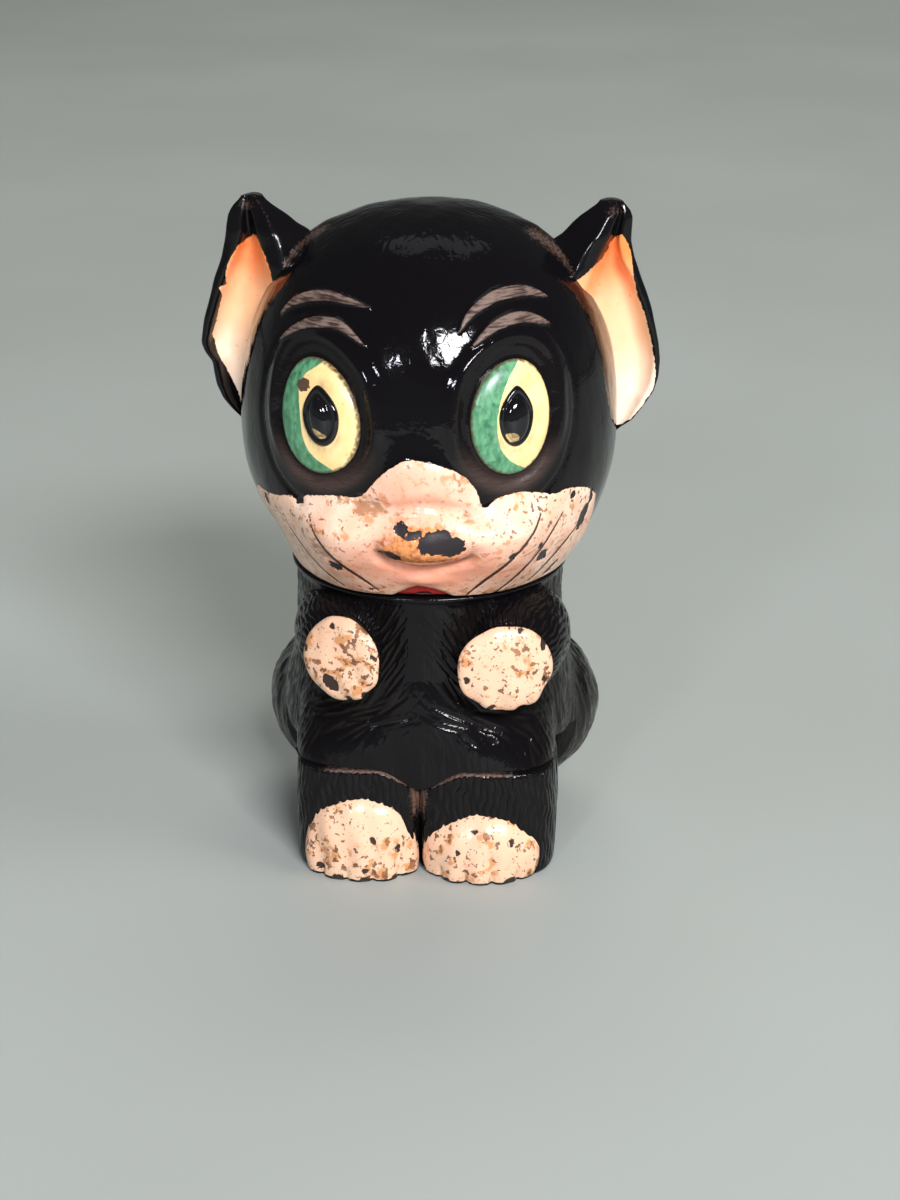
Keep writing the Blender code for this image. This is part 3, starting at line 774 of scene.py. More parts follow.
def disc_on_head(name, wide, tall, tilt, taper, centre, dome, sunk, material, stands_for, marking):
    """A closed disc that follows the face.

    Its rings run from the middle of its back round the rim to the middle of its front.
    taper gives its breadth, from 1, by how high a point of its outline is, from -1 to 1.
    """
    steps = 120
    turns = np.arange(steps) / steps * 2 * math.pi
    reach = np.concatenate([np.linspace(0.1, 1, 12), np.cos(np.linspace(0, math.pi / 2, 52))[1:-1]])
    front = np.arange(len(reach)) >= 12
    u = wide * reach[:, None] * np.cos(turns) * taper(np.sin(turns))
    v = tall * reach[:, None] * np.sin(turns)
    across = u * math.cos(tilt) - v * math.sin(tilt)
    up = u * math.sin(tilt) + v * math.cos(tilt)
    rise = centre[1] + up
    azimuth = (centre[0] + across) / np.interp(rise, RISE, RISE_RADIUS)
    share = reach[:, None] + 0 * u
    proud = np.where(front[:, None], dome(share, u, v), -sunk)
    rings = on_head(azimuth, rise, proud)[0]
    middle = centre[0] / np.interp(centre[1], RISE, RISE_RADIUS)
    back = on_head(np.array(middle), np.array(centre[1]), np.array(-sunk))[0]
    crest = rings[-1].mean(axis=0)
    skin(name, rings, back, crest, "head", material, marking(u, v, share), stands_for)


GREEN_EDGE = {  # the border between green and yellow, from the eye's middle, top to bottom
    "left": [(3.2, 8.5), (1.2, 6.4), (-0.8, 5.2), (-1.9, 3.4), (-2.0, 0.4), (-1.9, -2.6), (-0.9, -4.7),
             (1.3, -6.4), (3.2, -8.0)],
    "right": [(1.6, 8.5), (0.4, 6.8), (-1.0, 4.6), (-2.0, 2.0), (-2.3, -0.7), (-1.9, -3.2), (-0.6, -5.2),
              (1.6, -6.6), (3.8, -8.2)],
}

PUPILS = {  # chip on the eye, place, half sizes and place of the drop within it, golden spot on that
    "left": ((-1.2, 3.9, 1.0, 0.8, 0.3), (1.05, 0.30), (1.35, 2.35), (0.1, -0.1),
             (-0.3, -2.3, 1.2, 0.8, -0.5)),
    "right": ((-3.0, 9.0, 0.5, 0.5, 0.0), (0.20, 0.25), (1.60, 2.75), (-0.1, -0.3),
              (-0.8, -2.4, 0.85, 0.6, -0.3)),
}
PUPIL_HALF = {"left": 2.6, "right": 2.3}


def make_eyes(eye_paint, pupil_paint):
    for side, (centre, wide, tall, tilt, egg) in EYES.items():
        outline = np.vstack([spline(GREEN_EDGE[side]), [[-12, -9], [-12, 9]]])
        chip_shape, pupil_place, inner_half, inner_place, gold = PUPILS[side]

        def eye_marks(u, v, share):
            chip = np.maximum(oval(u - chip_shape[0], v - chip_shape[1], *chip_shape[2:]), share * 0 - 9)
            # Painted shade in a ring round the foot of the pupil, strongest below it, and a darker spot at the
            # pupil's top right.
            darkening_by_pupil = 0.55 * mound(u - pupil_place[0] - 0.9, v - 3.6, 1.0, 1.2)
            round_pupil = np.hypot((u - pupil_place[0]) / 2.9, (v - pupil_place[1]) / 4.5)
            darkening_by_pupil = darkening_by_pupil + 0.4 * np.exp(-(((round_pupil - 0.97) / 0.12) ** 2)) * smoothstep(-v, -0.5, 3.0)
            edge = smoothstep(share, 0.84, 1.0)
            return {"green": within(u, v, outline), "edge": edge, "chip": chip, "darkening_by_pupil": darkening_by_pupil}

        def eye_dome(share, u, v):
            dish = 0.30 * mound(u - pupil_place[0], v - pupil_place[1], 3.4, 4.9)
            return 1.05 * np.sqrt(np.maximum(1 - share**2.6, 0)) - dish

        disc_on_head(
            f"{side}_eyeball", wide, tall, tilt, lambda level: 1 - egg * level, centre, eye_dome, 1.4,
            eye_paint, [f"{side}_eye"], eye_marks,
        )

        def pupil_dome(share, u, v):
            rim = 0.80 * np.sqrt(np.maximum(1 - share**4, 0)) - 0.30 * smoothstep(share, 0.95, 0.70)
            inner = np.hypot((u - inner_place[0]) / inner_half[0], (v - inner_place[1]) / inner_half[1])
            return 0.75 + rim + 0.75 * np.sqrt(np.maximum(1 - inner**2.4, 0))

        def pupil_marks(u, v, share):
            inner = np.hypot((u - inner_place[0]) / inner_half[0], (v - inner_place[1]) / inner_half[1])
            spot = oval(u - gold[0], v - gold[1], *gold[2:])
            return {"glint": np.minimum(spot, (1.12 - inner) * 2)}

        disc_on_head(
            f"{side}_eye_drop", PUPIL_HALF[side], 3.75, tilt,
            lambda level: 1 - 0.42 * np.clip(level, 0, 1) ** 2,
            centre + np.array(pupil_place), pupil_dome, 0.3,
            pupil_paint, [f"{side}_pupil"], pupil_marks,
        )


# ---------------------------------------------------------------- ears

EAR_OUTER = {  # outer edge of each ear, (distance from the middle plane, height)
    "left": [(24.6, 57.2), (25.9, 58.4), (26.9, 59.3), (28.3, 60.9), (29.1, 62.7), (29.4, 64.5), (29.6, 66.0),
             (30.6, 67.2), (31.1, 68.6), (30.5, 71.8), (29.8, 74.5), (28.9, 77.5), (27.9, 80.3), (27.3, 82.7),
             (27.0, 84.7), (26.7, 86.0), (26.2, 86.9), (25.7, 87.5), (25.2, 88.0), (24.8, 88.5)],
    "right": [(25.0, 57.2), (25.8, 57.9), (27.4, 59.0), (29.0, 61.0), (30.3, 63.0), (30.9, 65.0),
              (31.0, 67.4), (30.8, 69.5), (30.4, 71.5), (29.8, 74.2), (29.0, 76.7), (28.1, 78.9),
              (27.2, 81.2), (26.7, 83.5),
              (26.7, 85.5), (26.7, 86.5), (26.4, 87.3), (25.9, 87.9), (25.4, 88.5)],
}

EAR_INNER = {  # the side of each ear next to the head; below the crown it is hidden in the head
    "left": [(24.0, 57.2), (21.2, 60.5), (19.2, 66.0), (16.6, 74.2), (14.6, 79.0), (14.6, 83.4), (15.7, 84.4),
             (17.0, 85.0), (18.3, 86.0), (19.6, 86.8), (20.6, 87.5), (21.3, 88.0), (21.8, 88.5)],
    "right": [(24.4, 57.2), (21.2, 60.5), (19.2, 66.0), (16.6, 74.2), (14.6, 79.0), (15.0, 82.6),
              (16.2, 83.6),
              (17.2, 84.2), (18.5, 85.6), (19.8, 86.7), (20.9, 87.5), (21.7, 88.0), (22.2, 88.5)],
}

EAR_RIDGE = {  # the fold at the front of each ear, (distance from the middle plane, height)
    "left": [(24.3, 57.2), (22.6, 60.5), (21.4, 66.0), (19.4, 74.2), (18.5, 79.0), (18.9, 80.6), (19.3, 82.4),
             (20.1, 84.2), (20.9, 86.1), (22.0, 87.6), (23.1, 88.6)],
    "right": [(24.7, 57.2), (22.6, 60.5), (21.4, 66.0), (19.6, 74.2), (19.2, 79.6), (19.8, 81.0),
              (21.1, 83.1),
              (22.1, 84.6), (23.0, 86.2), (23.9, 87.5), (23.5, 88.6)],
}

EAR_RIDGE_Y = [(57.2, 0.0), (60.5, -2.6), (66.0, -4.4), (74.2, -5.0), (80.0, -4.4), (84.2, -3.2),
               (87.0, -1.4), (88.6, 0.3)]
EAR_DEPTH = [(57.2, 0.3), (58.6, 1.5), (60.5, 2.7), (66.0, 4.2), (69.5, 4.5), (74.2, 4.4),
             (79.0, 3.8), (82.5, 2.8), (85.2, 1.7), (87.2, 0.9), (88.6, 0.2)]
EAR_LIP = [(57.2, 0.05), (76.0, 0.05), (79.5, 0.24), (84.0, 0.36), (88.6, 0.4)]  # flat share beside the fold
EAR_RIM = [(57.2, 0.1), (62.0, 0.16), (68.0, 0.10), (74.0, 0.14), (79.0, 0.18), (84.0, 0.36), (88.6, 0.4)]

EAR_CREAM = {  # the painted inside of each ear in front elevation
    "left": [(23.2, 84.4), (24.2, 83.9), (25.1, 82.8), (26.3, 81.0), (27.0, 79.4), (27.2, 77.6), (28.0, 76.9),
             (27.7, 76.2), (28.1, 75.1), (28.5, 73.7), (28.9, 72.3), (29.4, 70.7), (28.8, 68.2), (27.7, 66.0),
             (26.5, 63.4), (25.5, 60.6), (24.9, 58.6), (18.0, 58.6), (16.0, 77.0), (20.3, 77.4), (20.8, 79.4),
             (21.4, 81.2), (22.3, 83.2)],
    "right": [(24.4, 84.9), (23.8, 84.2), (23.3, 82.8), (22.3, 81.0), (21.3, 79.8), (20.0, 78.4),
              (16.0, 77.5),
              (18.0, 59.0), (25.6, 59.2), (27.1, 59.9), (28.8, 62.0), (30.1, 64.3), (30.3, 66.1),
              (30.1, 68.4),
              (29.5, 71.1), (28.6, 74.5), (27.6, 76.9), (27.0, 79.1), (26.7, 81.8), (26.2, 83.8),
              (25.3, 84.9)],
}


def by_height(pairs, height):
    """The first number of (number, height) pairs, read at a height."""
    numbers, heights = np.transpose(pairs)
    return float(np.interp(height, heights, numbers))


def ear_section(word, height, steps=40):
    """One level section of an ear, as if on the right.

    It runs down the cup from the outer edge to the fold, then round the back.
    """
    depth = float(np.interp(height, *np.transpose(EAR_DEPTH)))
    lip = float(np.interp(height, *np.transpose(EAR_LIP)))
    rim = float(np.interp(height, *np.transpose(EAR_RIM)))
    ridge_y = float(np.interp(height, *np.transpose(EAR_RIDGE_Y)))
    outer = np.array([by_height(EAR_OUTER[word], height), 0.1])
    fold = np.array([by_height(EAR_RIDGE[word], height), ridge_y])
    head_side = np.array([by_height(EAR_INNER[word], height), ridge_y * 0.2 + 0.4])
    share = np.linspace(0, 1, steps)
    cup = outer + (fold - outer) * share[:, None]
    bowl = np.clip((share - rim) / (1 - lip - rim), 0, 1)
    cup[:, 1] += depth * np.sin(math.pi * bowl**0.72) ** 0.9
    front = fold + (head_side - fold) * np.linspace(0, 1, 12)[1:, None]
    back = head_side + (outer - head_side) * share[1:, None]
    back[:, 1] += (depth + 2.0) * np.sin(math.pi * share[1:]) ** 0.8 + 0.2
    section = np.vstack([cup, front, back])
    run = np.concatenate([[0], np.cumsum(np.linalg.norm(np.diff(section, axis=0), axis=1))])
    total = run[-1] + np.linalg.norm(section[0] - section[-1])
    closed = np.vstack([section, section[:1]])
    run = np.append(run, total)
    even = np.arange(160) / 160 * total
    points = np.stack([np.interp(even, run, closed[:, k]) for k in (0, 1)], axis=-1)
    cup_end = run[steps - 1]
    into = np.minimum(even, cup_end - even)
    into = np.where(even < cup_end, into, -np.minimum(even - cup_end, total - even))
    return points, into, total


def soften(values, times):
    """Rounds a closed row of values."""
    for _ in range(times):
        values = 0.5 * values + 0.25 * (np.roll(values, 1, axis=0) + np.roll(values, -1, axis=0))
    return values


def make_ear(side, word, material):
    low, high = EAR_DEPTH[0][0], EAR_DEPTH[-1][0]
    middle, half = (low + high) / 2, (high - low) / 2
    heights = middle - half * np.cos(np.linspace(0.07, math.pi - 0.07, 190))
    rings, into = [], []
    for height in heights:
        points, inside, total = ear_section(word, height)
        smoothing = 12 if total > 12 else 16
        points = soften(points, smoothing)
        lift = np.full(len(points), height)
        rings.append(np.column_stack([points, lift]))
        into.append(inside)
    rings, into = np.array(rings), np.array(into)
    for _ in range(3):
        rings[1:-1] = 0.5 * rings[1:-1] + 0.25 * (rings[:-2] + rings[2:])
    rings[..., 0] *= side
    if side > 0:
        rings, into = rings[:, ::-1], into[:, ::-1]
    climb = (rings[..., 2] - 59.0) / 25.0
    seen_height = rings[..., 2] + 0.4 * (rings[..., 1] + 2.0)
    cream = np.minimum(into - 0.25, within(side * rings[..., 0], seen_height, EAR_CREAM[word]))
    wear = 0.35 * np.exp(-((into / 0.4) ** 2)) * smoothstep(rings[..., 2], 78, 86)
    tip = 0.5 * mound(side * rings[..., 0] - 24.0, rings[..., 2] - 87.4, 1.6, 1.2)
    head_there = head_radius(np.clip(rings[..., 2], 0, HEAD_HIGH[2] - 0.01))
    head_gap = np.hypot(rings[..., 0], rings[..., 1]) - head_there
    wear = np.maximum(np.maximum(wear, tip), 0.6 * smoothstep(-head_gap, -2.0, 0.2) * (into < 0))
    out = outward(rings)
    rings = rings + out * (0.05 * waver(rings, 2.0))[..., None]
    marks = {"cream": cream, "climb": climb, "wear": wear, "groove": np.zeros(into.shape)}
    first = rings[0].mean(axis=0) - (0, 0, 0.1)
    last = rings[-1].mean(axis=0) + (0, 0, 0.05)
    skin(f"{word}_ear_cup", rings, first, last, "head", material, marks, [f"{word}_ear"])


# ---------------------------------------------------------------- body

BODY_AXIS_Y = 3.0
TORSO = [  # height, radius
    (0.0, 16.4), (0.5, 17.0), (10.0, 17.0), (11.8, 17.4), (13.4, 19.2), (14.4, 19.9), (16.0, 20.3),
    (17.6, 20.5), (19.0, 20.4), (22.0, 20.1), (25.0, 19.4), (28.0, 18.8), (32.0, 18.5), (36.0, 18.4),
    (38.2, 18.5), (38.9, 18.5), (39.3, 18.95), (39.75, 19.0), (40.0, 18.6),
]


def ray_to_circle(azimuth, centre_y, radius_x, radius_y):
    """Distance from the body's axis to an ellipse at each azimuth, or -50 where it is missed."""
    dx, dy = np.sin(azimuth), -np.cos(azimuth)
    start = BODY_AXIS_Y - centre_y
    a = (dx / radius_x) ** 2 + (dy / radius_y) ** 2
    b = 2 * start * dy / radius_y**2
    c = (start / radius_y) ** 2 - 1
    square = b * b - 4 * a * c
    return np.where(square > 0, (-b + np.sqrt(np.maximum(square, 0))) / (2 * a), -50.0)


RIDGE_LIFT = 1.3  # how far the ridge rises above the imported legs


def leg_top(x):
    """Height of the ridge along the tops of the legs, with its dip between them."""
    return LEG_HIGH[2] + RIDGE_LIFT - 2.4 * smoothstep(np.abs(x - 0.3), 6.4, 0.2) ** 1.2


def reach_of_legs(azimuths):
    """Distance from the body's axis to the outline of the two legs taken together."""
    steps = np.arange(0, 34, 0.04)[:, None]
    x, y = steps * np.sin(azimuths), BODY_AXIS_Y - steps * np.cos(azimuths)
    half_x, half_y = LEG_HIGH[0] - 0.1, (LEG_HIGH[1] - LEG_LOW[1]) / 2
    middle_y = (LEG_HIGH[1] + LEG_LOW[1]) / 2
    inside = (np.abs(x - 0.3) / half_x) ** 3.4 + (np.abs(y - middle_y) / half_y) ** 3.4 < 1
    return np.max(np.where(inside, steps, 0), axis=0) - 0.40


def body_reach(azimuth, height):
    table = np.array(TORSO)
    torso = np.interp(height, table[:, 0], table[:, 1])
    reach = ray_to_circle(azimuth, 0.0, torso, torso)
    legs = reach_of_legs(azimuth[0])[None, :]
    lap = smoothstep(height, 24.0, 14.6)
    reach = np.maximum(reach, reach + (legs - reach) * lap)
    level = np.clip(1 - ((height - RUMP[2]) / RUMP_RADII[2]) ** 2, 1e-4, 1) ** 0.5
    rump = ray_to_circle(azimuth, RUMP[1], RUMP_RADII[0] * level, RUMP_RADII[1] * level)
    reach = blend_max(reach, rump, 1.6)
    facing = np.cos(azimuth)
    recess = np.where(facing > 0.12, (BODY_AXIS_Y + 1.8) / np.maximum(facing, 0.12), 60.0)
    edge = leg_top(reach * np.sin(azimuth)) - 0.5
    share = smoothstep(height - edge, 0.0, 0.4)
    return np.minimum(reach, recess + (60 - recess) * share)


def fur_lean(arc, height):
    """Which way the fur lies on the chest and back, from upright to the right."""
    side = np.sign(arc) if arc else 1.0
    near = abs(arc)
    chest = 0.70 * math.exp(-((near / 7.5) ** 2)) * float(smoothstep(height, 21, 26))
    belly = 1.25 * math.exp(-(((height - 22.5) / 3.2) ** 2)) * float(smoothstep(near, 19, 13))
    return -side * max(chest, belly)


def body_strokes():
    strokes = []
    radius = 19.5
    for row, height in enumerate(np.arange(1.5, 39.0, 1.7)):
        for column in np.arange(-62, 62, 0.86):
            arc = column + 0.43 * (row % 2) + random.normal(0, 0.07)
            place = height + random.normal(0, 0.45)
            lean = fur_lean(arc, place) + random.normal(0, 0.07)
            sparse = 0.5 if abs(lean) > 0.7 else 1.0
            if random.uniform() > sparse:
                continue
            length = random.uniform(1.8, 3.0)
            deep = random.uniform(0.16, 0.25)
            if abs(arc) < 2.6:
                deep *= 0.2
            if abs(arc) < 12 and place < 20.0:
                deep *= 0.25
            strokes.append((arc / radius, place, lean, length, 0.22, deep))
    return strokes


def make_body(material):
    azimuths = front_dense(430, 0.52)
    heights = np.linspace(0.0, SEAM, 196)
    azimuth, height = np.meshgrid(azimuths, heights)
    reach = body_reach(azimuth, height)
    plain = np.stack([reach * np.sin(azimuth), BODY_AXIS_Y - reach * np.cos(azimuth), height], axis=-1)
    out = outward(plain)
    groove = -comb(azimuths, heights, np.full(len(heights), 19.5), body_strokes())
    groove *= smoothstep(height, 38.9, 38.2) * smoothstep(height, 1.0, 2.5)
    swell = 0.13 * waver(plain, 3.0) * smoothstep(height, 39, 36) * smoothstep(height, 0.5, 3)
    outer = plain + out * (swell - groove)[..., None]
    outer[..., 2] = np.clip(outer[..., 2], 0, SEAM)
    outer[0, :, 2] = 0
    outer[-1, :, 2] = SEAM

    inner = [(MOUTH_RADIUS, SEAM), (MOUTH_RADIUS, SEAM - 7), (CAVITY_RADIUS, SEAM - 8)]
    inner += [(CAVITY_RADIUS, CAVITY_FLOOR + 2), (CAVITY_RADIUS - 2, CAVITY_FLOOR), (6.0, CAVITY_FLOOR)]
    hidden = turned(inner, azimuths)
    rings = np.concatenate([outer, hidden])
    ridge = leg_top(outer[..., 0])
    wear = 0.22 * np.exp(-(((height - ridge) / 0.5) ** 2)) * (np.cos(azimuth) > 0.2)
    marks = {"groove": groove, "wear": wear + 0.1 * smoothstep(height, 6, 0)}
    plain_inside = np.zeros((len(inner), len(azimuths)))
    marks = {name: np.concatenate([values, plain_inside]) for name, values in marks.items()}
    base = outer[0].mean(axis=0) * (1, 1, 0)
    floor = (0, 0, CAVITY_FLOOR)
    skin("cat_body", rings, base, floor, "body", material, marks, ["body_shell"])


# ---------------------------------------------------------------- limbs

def star(centre, radii, axes, squareness, steps=150, rows=96):
    """Rings over a superellipsoid, the same on its own axes, and its own two angles.

    Its last axis runs from the first pole to the last.
    """
    climb = np.linspace(-math.pi / 2, math.pi / 2, rows + 2)[1:-1]
    turn = np.arange(steps) / steps * 2 * math.pi
    turn, climb = np.meshgrid(turn, climb)
    flat_part = np.sign(np.cos(climb)) * np.abs(np.cos(climb)) ** (2 / squareness)
    tall_part = np.sign(np.sin(climb)) * np.abs(np.sin(climb)) ** (2 / squareness)
    local = np.stack([flat_part * np.cos(turn), flat_part * np.sin(turn), tall_part], axis=-1)
    local = local * np.asarray(radii)
    return np.asarray(centre) + local @ np.asarray(axes).T, local, turn, climb


def facing_axes(normal, tilt=0.0):
    out = unit(np.array(normal, float))
    across = unit(np.cross((0, 0, 1), out))
    up = np.cross(out, across)
    return np.stack([
        across * math.cos(tilt) + up * math.sin(tilt), up * math.cos(tilt) - across * math.sin(tilt), out,
    ], axis=1)


LIMBS = {  # shoulder, wrist, radius; pad centre, normal, half sizes and tilt; chips on the pad
    "left": dict(
        shoulder=(-12.1, -5.0, 32.6), wrist=(-9.4, -19.4, 32.2), radius=6.5,
        pad=(-9.7, -22.0, 32.5), normal=(-0.40, -0.91, 0.10), half=(5.6, 5.75), tilt=0.55,
        chips=[(-2.4, -2.2, 0.9, 1.4, 0.3), (-1.4, -5.2, 0.6, 0.4, 0.6), (0.9, -5.6, 0.6, 0.35, 0.0),
               (4.9, -1.6, 0.35, 0.5, 0.2), (-3.9, 3.3, 0.4, 0.5, 0.0), (1.4, 4.4, 0.35, 0.3, 0.0)],
    ),
    "right": dict(
        shoulder=(14.2, -5.0, 32.8), wrist=(11.8, -19.4, 31.7), radius=6.8,
        pad=(11.5, -21.4, 31.5), normal=(0.20, -0.96, 0.12), half=(6.4, 5.75), tilt=0.12,
        chips=[(5.4, 2.6, 0.4, 0.9, -0.2), (-2.6, -4.8, 0.6, 0.35, 0.4), (4.9, -2.2, 0.35, 0.6, 0.3),
               (-5.4, -0.6, 0.35, 0.6, 0.0), (1.4, -5.5, 0.7, 0.3, 0.0), (2.6, 4.9, 0.4, 0.3, 0.0)],
    ),
}


def limb_comb(turn, along, radius, pitch=0.95):
    """Grooves along a limb, in lanes round it that wander and break."""
    lane = turn * radius / pitch
    wander = 0.25 * np.sin(along * 1.3 + 2.0 * np.sin(turn * 3)) + 0.12 * np.sin(along * 3.1 + turn * 5)
    phase = (lane + wander) * 2 * math.pi
    breaks = 0.6 + 0.4 * np.sin(along * 1.9 + np.floor(lane) * 2.4)
    return 0.22 * np.clip(0.5 - 0.5 * np.cos(phase), 0, 1) ** 3 * breaks


def make_foreleg(word, black, pad_paint):
    limb = LIMBS[word]
    shoulder, wrist = np.array(limb["shoulder"]), np.array(limb["wrist"])
    along = unit(wrist - shoulder)
    half_length = np.linalg.norm(wrist - shoulder) / 2 + 0.8
    centre = (shoulder + wrist) / 2 + along * 0.2
    radii = (limb["radius"], limb["radius"], half_length)
    rings, local, turn, climb = star(centre, radii, facing_axes(along), 2.5, 260)
    lanes = 2 * round(math.pi * limb["radius"] / 0.95)
    groove = limb_comb(turn, local[..., 2], lanes * 0.95 / (2 * math.pi))
    groove *= smoothstep(np.abs(climb), 1.25, 0.9)
    out = outward(rings)
    rings = rings + out * (0.12 * waver(rings, 3.0) - groove)[..., None]
    rings[..., 2] = np.minimum(rings[..., 2], SEAM - 0.35)
    reach = np.hypot(rings[..., 0], rings[..., 1])
    rings[..., :2] *= (np.maximum(reach, ARM_ROOT_RADIUS) / reach)[..., None]
    marks = {"groove": groove, "wear": np.zeros(groove.shape)}
    first, last = rings[0].mean(axis=0), rings[-1].mean(axis=0)
    skin(f"{word}_arm", rings, first, last, "body", black, marks, [f"{word}_foreleg"])

    radii = (*limb["half"], 1.7)
    axes = facing_axes(limb["normal"], limb["tilt"])
    rings, local, _, climb = star(limb["pad"], radii, axes, 2.5, 140, 90)
    u, v = local[..., 0], local[..., 1]
    edge = oval(u, v, *limb["half"])
    knuckles = 0.16 * np.cos(u * 1.9) * smoothstep(-v, 0.0, 5.0)
    chip = np.full(u.shape, -9.0)
    for cx, cy, wide, tall, tilt in limb["chips"]:
        chip = np.maximum(chip, oval(u - cx, v - cy, wide, tall, tilt))
    chip = np.where(local[..., 2] > 0, chip, -9.0)
    out = outward(rings)
    lift = 0.16 * waver(rings, 2.4, 9.0) + knuckles - 0.1 * smoothstep(chip, -0.2, 0.2)
    rings = rings + out * (lift * (climb > -0.3))[..., None]
    cream = np.clip(edge + 0.5, -1.0, 1.0) + smoothstep(-local[..., 2], -0.6, 0.2) * -2.0
    marks = {"cream": cream, "chip": chip, "groove": np.zeros(u.shape), "wear": np.zeros(u.shape)}
    first, last = rings[0].mean(axis=0), rings[-1].mean(axis=0)
    skin(f"{word}_paw_pad", rings, first, last, "body", pad_paint, marks, [f"{word}_paw"])


FOOT = {  # chips as in LIMBS, from the foot's middle, seen from the front
    "left": [(-5.6, -1.8, 0.6, 0.5, 0.0), (-3.0, -2.8, 0.8, 0.5, 0.0), (0.8, -2.9, 0.7, 0.5, 0.0),
             (4.8, -2.9, 0.5, 0.5, 0.0), (0.8, -1.4, 0.45, 0.4, 0.0), (1.9, 3.0, 0.3, 0.7, 0.4),
             (5.3, 1.4, 0.3, 0.6, 0.1)],
    "right": [(-4.4, -2.9, 0.5, 0.4, 0.0), (4.2, -2.8, 0.9, 0.5, 0.2), (0.2, -3.1, 0.8, 0.3, 0.0),
              (4.4, 3.0, 0.3, 0.6, 0.0), (-0.6, 4.6, 0.45, 0.25, 0.0), (-2.8, 1.6, 0.25, 0.5, 0.2)],
}


def make_hind_leg(side, word, material):
    """A block with rounded corners, its top sloping up to the belly, with upright fur on its sides."""
    steps = 380
    low, high = node_box(f"{word}_hind_leg")
    inner, outer = sorted(np.abs([low[0], high[0]]))
    inner -= 0.45
    front, back = low[1], high[1]
    middle = np.array([(inner + outer) / 2, (front + back) / 2])
    half = np.array([(outer - inner) / 2, (back - front) / 2])
    turn = np.arange(steps) / steps * 2 * math.pi
    power = 2 / np.where(np.cos(turn) < 0, 6.5, 3.4)
    outline = np.stack([
        np.sign(np.cos(turn)) * np.abs(np.cos(turn)) ** power,
        np.sign(np.sin(turn)) * np.abs(np.sin(turn)) ** power,
    ], axis=-1) * half
    run = np.cumsum(np.linalg.norm(outline - np.roll(outline, 1, axis=0), axis=1))
    even = np.linspace(0, run[-1], steps, endpoint=False)
    outline = np.stack([np.interp(even, run, outline[:, k]) for k in (0, 1)], axis=-1)
    top = high[2] + RIDGE_LIFT
    rings = []
    profile = [(0.10 + 0.86 * t, 0.0) for t in np.linspace(0, 1, 10)]
    profile += [(1 - 0.04 * (1 - t) ** 2, 0.7 * t) for t in np.linspace(0.1, 1, 5)]
    up_the_wall = np.linspace(0.02, 0.98, 68)
    profile += [(1.0 + 0.02 * math.sin(math.pi * t), 0.7 + (top - 1.5) * t) for t in up_the_wall]
    round_the_corner = np.linspace(0, 1.45, 12)
    profile += [(1 - 0.07 * (1 - math.cos(a)), top - 0.8 + 0.8 * math.sin(a)) for a in round_the_corner]
    profile += [(0.93 - 0.83 * t, top) for t in np.linspace(0.03, 1, 10)]
    for share, height in profile:
        points = middle + outline * share
        rings.append(np.column_stack([points, np.full(steps, height)]))
    rings = np.array(rings)
    x, height = rings[..., 0].copy(), rings[..., 2].copy()
    ridge = smoothstep(height, 8.0, top)
    dip = top - leg_top(side * x)
    rings[..., 2] = np.maximum(height - dip * ridge, 0)
    out = outward(rings)
    wall = smoothstep(rings[..., 2], 0.8, 2.0) * smoothstep(np.abs(out[..., 2]), 0.75, 0.4)
    lane = np.concatenate([[0], np.cumsum(np.linalg.norm(np.diff(outline, axis=0), axis=1))])
    lane = lane[None, :] + 0 * x
    wander = 0.30 * np.sin(rings[..., 2] * 0.9 + lane * 0.35)
    wander = wander + 0.14 * np.sin(rings[..., 2] * 2.3 + lane * 1.3)
    breaks = 0.6 + 0.4 * np.sin(rings[..., 2] * 1.3 + np.floor(lane / 0.92 + wander) * 2.3)
    comb_depth = np.clip(0.5 - 0.5 * np.cos((lane / 0.92 + wander) * 2 * math.pi), 0, 1) ** 3
    groove = 0.28 * comb_depth * breaks * wall
    rings = rings + out * (0.12 * waver(rings, 3.0, 3.0) * wall - groove)[..., None]
    rings[..., 2] = np.maximum(rings[..., 2], 0)
    crest = np.exp(-(((rings[..., 2] + dip - top + 0.2) / 0.30) ** 2)) * smoothstep(-rings[..., 1], 8, 14)
    crest = crest * smoothstep(np.abs(rings[..., 0]), 15.5, 11.0)
    gap = smoothstep(rings[..., 0], inner + 1.9, inner + 0.6) * smoothstep(-rings[..., 1], 14, 18)
    gap *= smoothstep(rings[..., 2], 5.0, 12.0)
    marks = {"groove": groove * (1 - gap), "wear": np.maximum(0.72 * crest, 0.80 * gap)}
    if side < 0:
        rings[..., 0] *= -1
        rings = rings[:, ::-1]
        marks = {name: values[:, ::-1] for name, values in marks.items()}
    first, last = rings[0].mean(axis=0), rings[-1].mean(axis=0)
    skin(f"{word}_leg", rings, first, last, "body", material, marks, [f"{word}_hind_leg"])


FOOT_FIT = {"left": (0.3, 0.65, -2.7), "right": (-0.3, 0.5, -3.6)}  # shift, and what each half size gains


